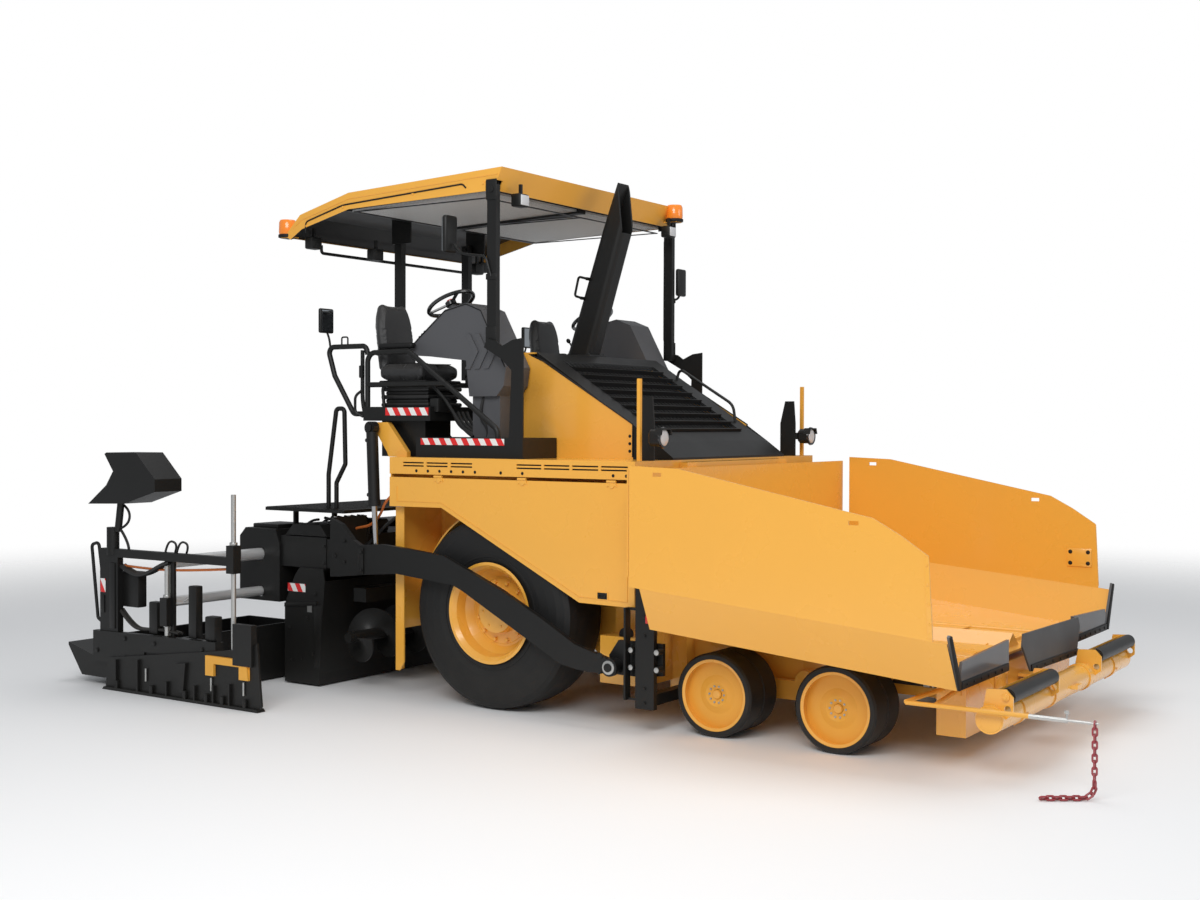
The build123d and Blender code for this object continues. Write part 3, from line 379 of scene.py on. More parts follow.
def grain_group():
    """Fine unevenness of a sprayed, cast or moulded surface."""
    group, start, end = new_group(
        "Surface grain",
        [("Scale", "NodeSocketFloat", 400.0), ("Blotch Scale", "NodeSocketFloat", 3.0)],
        [("Height", "NodeSocketFloat"), ("Blotch", "NodeSocketFloat")])
    nodes, links = group.nodes, group.links
    place = place_on(nodes)
    for socket, detail, output in (("Scale", 2, "Height"), ("Blotch Scale", 5, "Blotch")):
        noise = nodes.new("ShaderNodeTexNoise")
        noise.inputs["Detail"].default_value = detail
        links.new(place, noise.inputs["Vector"])
        links.new(start.outputs[socket], noise.inputs["Scale"])
        links.new(noise.outputs["Fac"], end.inputs[output])
    return group


def dust_group():
    """Dust that settles on faces that look up and gathers low down."""
    group, start, end = new_group(
        "Settled dust",
        [("Amount", "NodeSocketFloat", 0.1), ("Low Height", "NodeSocketFloat", 0.7)],
        [("Mask", "NodeSocketFloat")])
    nodes, links = group.nodes, group.links
    place = place_on(nodes)
    normal = nodes.new("ShaderNodeNewGeometry").outputs["Normal"]
    up = add_math(nodes, links, "MAXIMUM", axes_of(nodes, links, normal)["Z"], 0.0)
    below = add_math(nodes, links, "DIVIDE", axes_of(nodes, links, place)["Z"], start.outputs["Low Height"])
    low = add_math(nodes, links, "MAXIMUM", add_math(nodes, links, "SUBTRACT", 1.0, below), 0.0)
    noise = nodes.new("ShaderNodeTexNoise")
    set_sockets(noise, Scale=9.0, Detail=6.0)
    links.new(place, noise.inputs["Vector"])
    both = add_math(nodes, links, "ADD", up, low)
    cloud = add_math(nodes, links, "MULTIPLY", both, noise.outputs["Fac"])
    links.new(add_math(nodes, links, "MULTIPLY", cloud, start.outputs["Amount"]), end.inputs["Mask"])
    return group


def block_zone_group():
    """1 inside a box between two corners and in its mirror image across the middle, 0 outside."""
    group, start, end = new_group(
        "Block zone",
        [("Low", "NodeSocketVector", None), ("High", "NodeSocketVector", None)],
        [("Mask", "NodeSocketFloat")])
    nodes, links = group.nodes, group.links
    place = axes_of(nodes, links, place_on(nodes))
    low, high = [axes_of(nodes, links, start.outputs[key]) for key in ("Low", "High")]
    spots = {"X": place["X"], "Y": add_math(nodes, links, "ABSOLUTE", place["Y"]), "Z": place["Z"]}
    mask = None
    for axis, spot in spots.items():
        above = add_math(nodes, links, "GREATER_THAN", spot, low[axis])
        below = add_math(nodes, links, "LESS_THAN", spot, high[axis])
        inside = add_math(nodes, links, "MULTIPLY", above, below)
        mask = inside if mask is None else add_math(nodes, links, "MULTIPLY", mask, inside)
    links.new(mask, end.inputs["Mask"])
    return group


def from_centre(nodes, links, start):
    """The place on a piece measured from a group's Centre, split into X, Y and Z."""
    flat = nodes.new("ShaderNodeVectorMath")
    flat.operation = "SUBTRACT"
    links.new(place_on(nodes), flat.inputs[0])
    links.new(start.outputs["Centre"], flat.inputs[1])
    return axes_of(nodes, links, flat.outputs[0])


def length_of(nodes, links, sockets):
    """The root of the sum of two squares."""
    squares = [add_math(nodes, links, "POWER", socket, 2.0) for socket in sockets]
    return add_math(nodes, links, "SQRT", add_math(nodes, links, "ADD", *squares))


def round_zone_group():
    """1 within a radius of an axis that runs along Y, 0 outside."""
    group, start, end = new_group(
        "Round zone",
        [("Centre", "NodeSocketVector", None), ("Radius", "NodeSocketFloat", 0.1)],
        [("Mask", "NodeSocketFloat")])
    nodes, links = group.nodes, group.links
    place = from_centre(nodes, links, start)
    reach = length_of(nodes, links, [place["X"], place["Z"]])
    links.new(add_math(nodes, links, "LESS_THAN", reach, start.outputs["Radius"]), end.inputs["Mask"])
    return group


def stripe_group():
    """Slanted bars along X and Z."""
    group, start, end = new_group(
        "Slanted bars", [("Pitch", "NodeSocketFloat", 0.1)], [("Mask", "NodeSocketFloat")])
    nodes, links = group.nodes, group.links
    place = axes_of(nodes, links, place_on(nodes))
    lean = add_math(nodes, links, "MULTIPLY", place["Z"], 0.6)
    along = add_math(nodes, links, "ADD", place["X"], lean)
    turn = add_math(nodes, links, "FRACT", add_math(nodes, links, "DIVIDE", along, start.outputs["Pitch"]))
    links.new(add_math(nodes, links, "GREATER_THAN", turn, 0.5), end.inputs["Mask"])
    return group


def tread_group():
    """Slanted tread bars round an axis along Y, above a radius."""
    group, start, end = new_group(
        "Tread bars",
        [("Centre", "NodeSocketVector", None), ("Count", "NodeSocketFloat", 22.0),
         ("Foot", "NodeSocketFloat", 0.6)],
        [("Height", "NodeSocketFloat")])
    nodes, links = group.nodes, group.links
    place = from_centre(nodes, links, start)
    angle = add_math(nodes, links, "ARCTAN2", place["Z"], place["X"])
    turn = add_math(nodes, links, "MULTIPLY", add_math(nodes, links, "DIVIDE", angle, 2 * math.pi),
                    start.outputs["Count"])
    lean = add_math(nodes, links, "MULTIPLY", add_math(nodes, links, "ABSOLUTE", place["Y"]), 6.0)
    bars = add_math(nodes, links, "FRACT", add_math(nodes, links, "ADD", turn, lean))
    reach = length_of(nodes, links, [place["X"], place["Z"]])
    outer = add_math(nodes, links, "GREATER_THAN", reach, start.outputs["Foot"])
    gap = add_math(nodes, links, "MULTIPLY", add_math(nodes, links, "LESS_THAN", bars, 0.34), outer)
    links.new(add_math(nodes, links, "SUBTRACT", 1.0, gap), end.inputs["Height"])
    return group


GROUPS = {
    "tread": tread_group(),
    "grain": grain_group(),
    "dust": dust_group(),
    "block": block_zone_group(),
    "round": round_zone_group(),
    "bars": stripe_group(),
}
DUST_COLOUR = (0.42, 0.36, 0.28, 1)


# ---- materials ------------------------------------------------------------------------
# a Mix node's inputs and output for numbers and for colours
NUMBER_INPUTS, NUMBER_OUTPUT = (2, 3), 0
COLOUR_INPUTS, COLOUR_OUTPUT = (6, 7), 2


def new_material(name):
    """An empty material, its node tree and its shader."""
    material = bpy.data.materials.new(name)
    material.use_nodes = True
    return material, material.node_tree, material.node_tree.nodes["Principled BSDF"]


def mix_colour(tree, mask, first, second):
    """Between two colours, each a socket or four numbers."""
    node = tree.nodes.new("ShaderNodeMix")
    node.data_type = "RGBA"
    tree.links.new(mask, node.inputs["Factor"])
    for index, value in zip(COLOUR_INPUTS, (first, second)):
        if isinstance(value, tuple):
            node.inputs[index].default_value = value
        else:
            tree.links.new(value, node.inputs[index])
    return node.outputs[COLOUR_OUTPUT]


def mix_number(tree, mask, first, second):
    """Between two values, each a socket or a number."""
    node = tree.nodes.new("ShaderNodeMix")
    tree.links.new(mask, node.inputs["Factor"])
    for index, value in zip(NUMBER_INPUTS, (first, second)):
        if isinstance(value, (int, float)):
            node.inputs[index].default_value = value
        else:
            tree.links.new(value, node.inputs[index])
    return node.outputs[NUMBER_OUTPUT]


def place_group(tree, key, **values):
    """A shared group in a material, with its inputs set."""
    node = tree.nodes.new("ShaderNodeGroup")
    node.node_tree = GROUPS[key]
    return set_sockets(node, **values)


def add_bump(tree, shader, height, strength, distance):
    """Raises a surface by a height socket."""
    node = set_sockets(tree.nodes.new("ShaderNodeBump"), Strength=strength, Distance=distance)
    tree.links.new(height, node.inputs["Height"])
    tree.links.new(node.outputs[0], shader.inputs["Normal"])
    return node


def surface(name, colour, roughness, metallic=0.0, coat=0.0, grain=420.0, bump=0.15, blotch=0.06, dust=0.1,
            zones=(), sheen=0.0, emission=0.0, specular=0.5):
    """A finish with fine grain, faint blotches and dust; zones paint named regions in other finishes."""
    material, tree, shader = new_material(name)
    grain_node = place_group(tree, "grain", Scale=grain)
    colour = (*colour, 1)
    base, rough, metal = colour, roughness, metallic
    for mask, zone_colour, zone_rough, zone_metal in [zone(tree) for zone in zones]:
        base = mix_colour(tree, mask, base, (*zone_colour, 1))
        rough = mix_number(tree, mask, rough, zone_rough)
        metal = mix_number(tree, mask, metal, zone_metal)
    darker = tree.nodes.new("ShaderNodeHueSaturation")
    darker.inputs["Value"].default_value = 1 - blotch * 2
    if isinstance(base, tuple):
        darker.inputs["Color"].default_value = base
    else:
        tree.links.new(base, darker.inputs["Color"])
    base = mix_colour(tree, grain_node.outputs["Blotch"], base, darker.outputs[0])
    dust_node = place_group(tree, "dust", Amount=dust)
    base = mix_colour(tree, dust_node.outputs["Mask"], base, DUST_COLOUR)
    tree.links.new(base, shader.inputs["Base Color"])
    uneven = tree.nodes.new("ShaderNodeMapRange")
    set_sockets(uneven, To_Min=-0.05, To_Max=0.07)
    tree.links.new(grain_node.outputs["Blotch"], uneven.inputs["Value"])
    tree.links.new(add_math(tree.nodes, tree.links, "ADD", uneven.outputs[0], rough),
                   shader.inputs["Roughness"])
    if isinstance(metal, (int, float)):
        shader.inputs["Metallic"].default_value = metal
    else:
        tree.links.new(metal, shader.inputs["Metallic"])
    add_bump(tree, shader, grain_node.outputs["Height"], bump, 0.001)
    set_sockets(shader, Coat_Weight=coat, Coat_Roughness=0.12, Sheen_Weight=sheen,
                Specular_IOR_Level=specular)
    if emission:
        set_sockets(shader, Emission_Color=colour, Emission_Strength=emission)
    return material


def block_zone(low, high, colour, roughness, metallic=0.0):
    """A finish for what lies between two corners, whose X is from the drive axle."""
    shift = Vector((AXLE_X, 0, 0))

    def make(tree):
        node = place_group(tree, "block", Low=Vector(low) + shift, High=Vector(high) + shift)
        return node.outputs["Mask"], colour, roughness, metallic
    return make


def round_zone(centre, radius, colour, roughness):
    """A finish for what lies within a radius of an axis along Y."""
    shift = Vector((AXLE_X, 0, 0))

    def make(tree):
        node = place_group(tree, "round", Centre=Vector(centre) + shift, Radius=radius)
        return node.outputs["Mask"], colour, roughness, 0.0
    return make


def facing_down(colour, roughness, limit, high=(9, 9, 9)):
    """A finish for faces below and behind a corner that look down by more than a limit."""
    shift = Vector((AXLE_X, 0, 0))

    def make(tree):
        normal = tree.nodes.new("ShaderNodeTexCoord").outputs["Normal"]
        down = add_math(tree.nodes, tree.links, "LESS_THAN", axes_of(tree.nodes, tree.links, normal)["Z"],
                        limit)
        node = place_group(tree, "block", Low=Vector((-9, -9, -9)) + shift, High=Vector(high) + shift)
        return add_math(tree.nodes, tree.links, "MULTIPLY", down,
                        node.outputs["Mask"]), colour, roughness, 0.0
    return make


def striped(name, pitch, first, second):
    """Reflective tape with slanted bars."""
    material = surface(name, first, 0.32, grain=900, bump=0.05)
    tree = material.node_tree
    shader = tree.nodes["Principled BSDF"]
    bars = place_group(tree, "bars", Pitch=pitch)
    colour = mix_colour(tree, bars.outputs["Mask"], (*first, 1), (*second, 1))
    tree.links.new(colour, shader.inputs["Base Color"])
    return material


def dotted(name, colour, hole, pitch, radius):
    """Sheet with a close grid of round holes drawn in its own plane."""
    material = surface(name, colour, 0.5, grain=600, bump=0.05, dust=0.0)
    tree = material.node_tree
    nodes, links = tree.nodes, tree.links
    place = axes_of(nodes, links, place_on(nodes))
    offsets = []
    for axis in "XY":
        cell = add_math(nodes, links, "FRACT", add_math(nodes, links, "DIVIDE", place[axis], pitch))
        offsets.append(add_math(nodes, links, "SUBTRACT", cell, 0.5))
    mask = add_math(nodes, links, "LESS_THAN", length_of(nodes, links, offsets), radius)
    colour = mix_colour(tree, mask, (*colour, 1), (*hole, 1))
    tree.links.new(colour, tree.nodes["Principled BSDF"].inputs["Base Color"])
    return material


def lens(name, colour):
    """Clear moulded lens with fine ribs."""
    material, tree, shader = new_material(name)
    set_sockets(shader, Base_Color=(*colour, 1), Roughness=0.14, Coat_Weight=0.6)
    wave = tree.nodes.new("ShaderNodeTexWave")
    wave.bands_direction = "Z"
    set_sockets(wave, Scale=40.0)
    tree.links.new(place_on(tree.nodes), wave.inputs["Vector"])
    add_bump(tree, shader, wave.outputs["Fac"], 0.25, 0.002)
    return material


def tread_rubber(name, centre):
    """Tyre rubber with tread bars cut in its crown."""
    material = surface(name, DARK, 0.6, grain=180, bump=0.4, blotch=0.12, dust=0.04, specular=0.35)
    tree = material.node_tree
    shader = tree.nodes["Principled BSDF"]
    bars = place_group(tree, "tread", Centre=Vector(centre) + Vector((AXLE_X, 0, 0)))
    bump = add_bump(tree, shader, bars.outputs["Height"], 1.0, 0.02)
    tree.links.new(tree.nodes["Bump"].outputs[0], bump.inputs["Normal"])
    return material


YELLOW = (0.92, 0.452, 0.06)
BLACK = (0.0095, 0.0095, 0.009)
ZINC = (0.62, 0.62, 0.60)
ORANGE = (0.95, 0.26, 0.02)
CHROME = (0.90, 0.90, 0.89)
DARK = (0.012, 0.012, 0.012)
GREY_RUBBER = (0.085, 0.087, 0.09)
# settings that several finishes share
GLOSSY = {"roughness": 0.27, "coat": 0.55, "grain": 260, "bump": 0.06, "blotch": 0.02, "dust": 0.05}
MATT = {"roughness": 0.42, "grain": 500, "bump": 0.25, "blotch": 0.1, "dust": 0.015, "specular": 0.35}
FRONT_WHEELS = {"front": pivot("spin_front_right"), "middle": pivot("spin_middle_right")}


def make_finishes(colours):
    """Every finish of the machine, by a short name."""
    yellow, black = tuple(colours.yellow), tuple(colours.black)
    return {
        "yellow": surface("Yellow paint", yellow, **GLOSSY),
        "black": surface("Black paint", black, **MATT),
        "gloss_black": surface("Gloss black paint", DARK, 0.22, coat=0.5, bump=0.05, dust=0.04),
        "tyre": surface("Tyre rubber", DARK, 0.62, grain=180, bump=0.4, blotch=0.12, dust=0.04,
                        specular=0.35),
        "rubber": surface("Black rubber", (0.009, 0.009, 0.009), 0.55, grain=260, bump=0.3, dust=0.01,
                          specular=0.3),
        "flap": surface("Flashing rubber", GREY_RUBBER, 0.6, grain=60, bump=0.5, blotch=0.22, dust=0.08),
        "console": surface("Console moulding", (0.085, 0.086, 0.092), 0.5, grain=900, bump=0.5, blotch=0.05),
        "vinyl": surface("Cushion vinyl", (0.02, 0.02, 0.021), 0.48, grain=700, bump=0.7, sheen=0.15,
                         blotch=0.08),
        "bellows": surface("Bellows rubber", DARK, 0.5, grain=300, bump=0.3),
        "zinc": surface("Zinc plate", ZINC, 0.34, metallic=0.9, grain=200, bump=0.1, blotch=0.15, dust=0.02),
        "chrome": surface("Chromed rod", (0.82, 0.82, 0.81), 0.1, metallic=1.0, grain=900, bump=0.02,
                          blotch=0.03, dust=0.0),
        "red": surface("Red link coating", (0.33, 0.02, 0.035), 0.35, coat=0.3, bump=0.15),
        "signal_red": surface("Red socket", (0.75, 0.03, 0.02), 0.35, coat=0.3),
        "orange": surface("Amber dome", ORANGE, 0.16, coat=0.6, bump=0.05, dust=0.0, emission=0.12),
        "cable": surface("Orange cable sheath", (0.62, 0.16, 0.03), 0.5, bump=0.2),
        "hose": surface("Hydraulic hose", DARK, 0.45, grain=1200, bump=0.6),
        "glass": surface("Mirror glass", (0.55, 0.58, 0.6), 0.04, metallic=1.0, bump=0.0, dust=0.0),
        "screen": surface("Display glass", (0.01, 0.012, 0.014), 0.08, coat=1.0, bump=0.0, dust=0.0),
        "lamp": lens("Lamp lens", (0.62, 0.63, 0.64)),
        "tape": striped("Red and white tape", 0.1, (0.85, 0.85, 0.83), (0.72, 0.02, 0.02)),
        "ceiling": dotted("Perforated panel", (0.72, 0.72, 0.70), (0.25, 0.25, 0.25), 0.012, 0.3),
        "engine": surface("Cast block", (0.12, 0.12, 0.12), 0.6, grain=150, bump=0.6),
    }


def wheel_finish(colours, name, centre, rim):
    """Black rubber round a yellow disc, for a wheel whose node is one piece."""
    zone = round_zone(centre, rim, tuple(colours.yellow), 0.3)
    return surface(name, DARK, 0.5, grain=220, bump=0.3, blotch=0.05, dust=0.04, specular=0.35,
                   zones=[zone])


# ---- settings -------------------------------------------------------------------------
class PaverColours(bpy.types.PropertyGroup):
    yellow: FloatVectorProperty(name="Yellow", description="Paint of the hood, hopper and end gates",
                                subtype="COLOR", default=YELLOW, min=0, max=1)
    black: FloatVectorProperty(name="Black", description="Paint of the frame, grille and canopy",
                               subtype="COLOR", default=BLACK, min=0, max=1)


class PaverStage(bpy.types.PropertyGroup):
    key_power: FloatProperty(name="Key light", description="Power of the large light beside the machine",
                             default=560.0, min=0, unit="POWER")
    fill_power: FloatProperty(name="Fill light", description="Power of the light ahead of the machine",
                              default=150.0, min=0, unit="POWER")
    focal: FloatProperty(name="Focal length", description="Focal length of the camera in millimetres",
                         default=44.38, min=1, unit="CAMERA")
    eye: FloatVectorProperty(name="Eye", description="Place of the camera", subtype="TRANSLATION", size=3,
                             default=(6.1781, -9.1167, 1.9373))


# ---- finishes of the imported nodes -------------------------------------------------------
NODE_FINISH = {
    "black": ("hood_grille", "fume_stack", "operator_platform", "platform_rails", "canopy_frame",
              "canopy_front_posts", "canopy_rear_posts", "tow_guides", "auger_frame", "screed_arms",
              "screed_main", "screed_walkway", "push_roller_right", "push_roller_left",
              "tow_carriage_right", "tow_carriage_left", "lift_barrel_right", "lift_barrel_left",
              "auger_right", "auger_left", "knuckle_front_right", "knuckle_front_left",
              "knuckle_middle_right", "knuckle_middle_left"),
    "yellow": ("main_frame", "axle_beams", "body_sides", "side_door_right", "side_door_left",
               "hopper_floor", "drive_rim_right", "drive_rim_left", "bumper_bracket", "push_beam"),
    "gloss_black": ("steering_wheel_right", "steering_wheel_left"),
    "vinyl": ("seats",),
    "console": ("consoles",),
    "flap": ("hopper_apron",),
    "red": ("guide_chain",),
    "chrome": ("lift_rod_right", "lift_rod_left"),
    "engine": ("engine_block",),
    "ceiling": ("canopy_ceiling",),
}
# boxes round parts of an extension that have a finish of their own: guide tubes, jack screws, yellow bridge
TUBE_ZONES = [((-2.237, 0.85, 0.633), (-2.163, 2.088, 0.707)),
              ((-2.245, 0.85, 0.907), (-2.155, 2.088, 0.997))]
SCREW_ZONES = [((-1.543, 2.107, 0.342), (-1.507, 2.143, 0.911)),
               ((-1.543, 2.107, 1.104), (-1.507, 2.143, 1.453)),
               ((-2.225, 2.107, 0.43), (-2.189, 2.143, 0.499)),
               ((-2.225, 2.107, 0.701), (-2.189, 2.143, 0.928))]
BRIDGE_ZONES = [((-1.733, 2.109, 0.288), (-1.31, 2.197, 0.342)),
                ((-1.733, 2.109, 0.204), (-1.648, 2.197, 0.29)),
                ((-1.402, 2.109, 0.204), (-1.31, 2.197, 0.29))]
# radius of the yellow disc of a front wheel
FRONT_DISC = 0.222


def paint_node(name, material):
    """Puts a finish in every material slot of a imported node."""
    for slot in frame["nodes"][name].material_slots:
        slot.material = material


def paint_mixed_nodes(colours):
    """Nodes that carry more than one finish."""
    yellow, black = tuple(colours.yellow), tuple(colours.black)
    zones = [block_zone(low, high, CHROME, 0.3, 0.55) for low, high in TUBE_ZONES]
    zones += [block_zone(low, high, ZINC, 0.34, 0.9) for low, high in SCREW_ZONES]
    zones += [block_zone(low, high, yellow, 0.3) for low, high in BRIDGE_ZONES]
    extension = surface("Extension black", black, zones=zones, **MATT)
    for side in SIDES:
        paint_node(f"screed_extension_{side}", extension)
    posts = [block_zone((1.13, 1.15, 1.706), (1.16, 1.18, 2.24), yellow, 0.3)]
    paint_node("marker_lamps", surface("Lamp black", black, 0.42, dust=0.015, specular=0.35, zones=posts))
    inner = [block_zone((-0.3, 0, 1.45), (1.4, 0.78, 2.43), (0.01, 0.01, 0.01), 0.6)]
    paint_node("engine_hood", surface("Hood yellow", yellow, zones=inner, **GLOSSY))
    under = [facing_down(DARK, 0.5, -0.8), facing_down(DARK, 0.5, -0.1, high=(-0.1, 9, 9))]
    roof = {**GLOSSY, "roughness": 0.42, "coat": 0.15, "dust": 0.03}
    paint_node("canopy_roof", surface("Canopy yellow", yellow, zones=under, **roof))
    tip = [block_zone((3.72, 1.3, 0.3), (4.1, 1.5, 0.6), ZINC, 0.34, 0.9)]
    flaps = [block_zone((3.3515, 0.6, 0.4), (3.4, 1.7, 0.95), (0.085, 0.087, 0.092), 0.6)]
    wing = surface("Wing yellow", yellow, zones=flaps, **GLOSSY)
    for side in SIDES:
        paint_node(f"hopper_wing_{side}", wing)
    paint_node("steering_guide", surface("Sight arm yellow", yellow, 0.3, zones=tip))


class PAVER_OT_paint(bpy.types.Operator):
    """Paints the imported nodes"""
    bl_idname = "paver.paint"
    bl_label = "Paint nodes"

    def execute(self, context):
        colours = context.scene.paver_colours
        FINISH.update(make_finishes(colours))
        for key, names in NODE_FINISH.items():
            for name in names:
                paint_node(name, FINISH[key])
        paint_mixed_nodes(colours)
        for axle, centre in FRONT_WHEELS.items():
            finish = wheel_finish(colours, f"{axle} wheel", centre, FRONT_DISC)
            for side in SIDES:
                paint_node(f"wheel_{axle}_{side}", finish)
        for side in SIDES:
            paint_node(f"drive_tyre_{side}", tread_rubber(f"Tread {side}", pivot(f"drive_spin_{side}")))
        return {"FINISHED"}


# ---- stage ------------------------------------------------------------------------------
# width of the floor, and how far from the middle it starts and ends to fade, in metres
FLOOR_WIDTH, FADE_START, FADE_END = 80, 6.0, 16.0
TOP_POWER = 260
# turns of the camera in radians
YAW, PITCH, ROLL = 0.5908, -0.0172, 0.0028


def area_light(name, place, target, size, power):
    """A rectangular light that looks at a point."""
    bpy.ops.object.light_add(type="AREA", location=place)
    lamp = bpy.context.object
    lamp.name = name
    lamp.data.shape = "RECTANGLE"
    lamp.data.size, lamp.data.size_y = size
    lamp.data.energy = power
    lamp.rotation_euler = (Vector(target) - Vector(place)).to_track_quat("-Z", "Y").to_euler()
    return lamp


class PAVER_OT_stage(bpy.types.Operator):
    """Sets the floor, the studio light and the camera"""
    bl_idname = "paver.stage"
    bl_label = "Set stage"

    def execute(self, context):
        stage = context.scene.paver_stage
        clear_selection()
        bpy.ops.mesh.primitive_plane_add(size=FLOOR_WIDTH, location=(0, 0, -0.001))
        floor = context.object
        floor.name = "Studio floor"
        material, tree, shader = new_material("Studio floor")
        set_sockets(shader, Base_Color=(0.92, 0.92, 0.92, 1), Roughness=0.7)
        far = tree.nodes.new("ShaderNodeVectorMath")
        far.operation = "LENGTH"
        tree.links.new(place_on(tree.nodes), far.inputs[0])
        fade = tree.nodes.new("ShaderNodeMapRange")
        fade.interpolation_type = "SMOOTHSTEP"
        set_sockets(fade, From_Min=FADE_START, From_Max=FADE_END, To_Min=1.0, To_Max=0.0)
        tree.links.new(far.outputs["Value"], fade.inputs["Value"])
        tree.links.new(fade.outputs[0], shader.inputs["Alpha"])
        floor.data.materials.append(material)

        world = bpy.data.worlds.new("Studio")
        context.scene.world = world
        world.use_nodes = True
        nodes, links = world.node_tree.nodes, world.node_tree.links
        seen = nodes.new("ShaderNodeBackground")
        set_sockets(seen, Color=(1, 1, 1, 1), Strength=1.0)
        light = nodes["Background"]
        set_sockets(light, Color=(0.93, 0.96, 1.0, 1), Strength=0.42)
        mix = nodes.new("ShaderNodeMixShader")
        links.new(nodes.new("ShaderNodeLightPath").outputs["Is Camera Ray"], mix.inputs[0])
        links.new(light.outputs[0], mix.inputs[1])
        links.new(seen.outputs[0], mix.inputs[2])
        links.new(mix.outputs[0], nodes["World Output"].inputs["Surface"])

        area_light("Key", (3.5, -9.0, 7.0), (0, 0, 1.2), (7, 4), stage.key_power)
        area_light("Fill", (9.5, 3.0, 5.0), (0, 0, 1.2), (5, 4), stage.fill_power)
        area_light("Top", (0.0, 0.0, 9.5), (0, 0, 1.0), (7, 5), TOP_POWER)

        data = bpy.data.cameras.new("Camera")
        data.sensor_width = 36.0
        data.lens = stage.focal
        data.clip_end = 200
        camera = bpy.data.objects.new("Camera", data)
        bpy.context.collection.objects.link(camera)
        turn = (Matrix.Rotation(YAW, 4, "Z") @ Matrix.Rotation(math.pi / 2 + PITCH, 4, "X")
                @ Matrix.Rotation(ROLL, 4, "Z"))
        camera.matrix_world = Matrix.Translation(Vector(stage.eye) + Vector((AXLE_X, 0, 0))) @ turn
        context.scene.camera = camera
        context.scene.view_settings.view_transform = "Standard"
        return {"FINISHED"}


# ---- wheels -----------------------------------------------------------------------------
# radii of the circles that the nuts and bolts stand on
FRONT_NUTS, DRIVE_NUTS, HUB_BOLTS = 0.052, 0.2, 0.105


class PAVER_OT_wheels(bpy.types.Operator):
    """Adds nuts, hub caps and sidewall rings to the wheels"""
    bl_idname = "paver.wheels"
    bl_label = "Dress wheels"

    def execute(self, context):
        for axle, centre in FRONT_WHEELS.items():
            x, z = centre.x, centre.z
            nut = bolt((x + FRONT_NUTS, -1.081, z), OUT, 0.0075, 0.014)
            nuts = round_y(nut, (x, 0, z), 10)
            stud = rod((x + FRONT_NUTS, -1.085, z), (x + FRONT_NUTS, -1.106, z), 0.004, 8)
            studs = round_y(stud, (x, 0, z), 10)
            dress_pair([nuts, studs], f"nuts_{axle}", f"wheel_{axle}_*", "zinc")
            cap = turned([(0.0005, -1.080), (0.026, -1.080), (0.03, -1.092), (0.024, -1.102),
                          (0.0005, -1.104)],
                         (x, 0, z), 32)
            dress_pair(cap, f"cap_{axle}", f"wheel_{axle}_*", "yellow")
            lip = turned([(0.205, -1.136), (0.222, -1.142), (0.231, -1.138), (0.229, -1.128),
                          (0.207, -1.126)],
                         (x, 0, z), 72)
            dress_pair(lip, f"band_{axle}", f"wheel_{axle}_*", "yellow")
        hub = pivot("drive_spin_right")
        x, z = 0.0, hub.z
        nut = bolt((x + DRIVE_NUTS, -1.1, z), OUT, 0.014, 0.02)
        nuts = round_y(nut, (x, 0, z), 12, math.pi / 12)
        dress_pair(nuts, "drive_nuts", "drive_wheel_*", "yellow")
        small = round_y(bolt((x + HUB_BOLTS, -1.18, z), OUT, 0.008, 0.007), (x, 0, z), 6)
        dress_pair(small, "hub_bolts", "drive_wheel_*", "yellow")
        rings = [turned([(r, -1.236), (r + 0.004, -1.245), (r + 0.012, -1.245), (r + 0.016, -1.236)],
                        (x, 0, z), 96)
                 for r in (0.375, 0.43, 0.545)]
        dress_pair(rings, "sidewall_rings", "drive_wheel_*", "tyre")
        steps = [turned([(r, y), (r + 0.008, y - 0.008), (r + 0.016, y)], (x, 0, z), 72)
                 for r, y in ((0.262, -1.118), (0.216, -1.098))]
        dress_pair(steps, "rim_steps", "drive_wheel_*", "yellow")
        return {"FINISHED"}


# ---- bodywork ---------------------------------------------------------------------------
# x of the door's hinge pads
HINGES = (-0.42, 0.3, 1.01)
# bolt rows on the flank: first x, last x, z, count
FLANK_BOLTS = [(-0.62, -0.10, 1.612, 6), (0.12, 0.30, 1.612, 2), (1.02, 1.12, 1.612, 2)]
# lower edge of the door: x, z
DOOR_EDGE = [(-0.80, 1.50), (-0.80, 1.395), (-0.40, 1.395), (0.76, 0.825), (1.13, 0.815), (1.13, 1.50)]


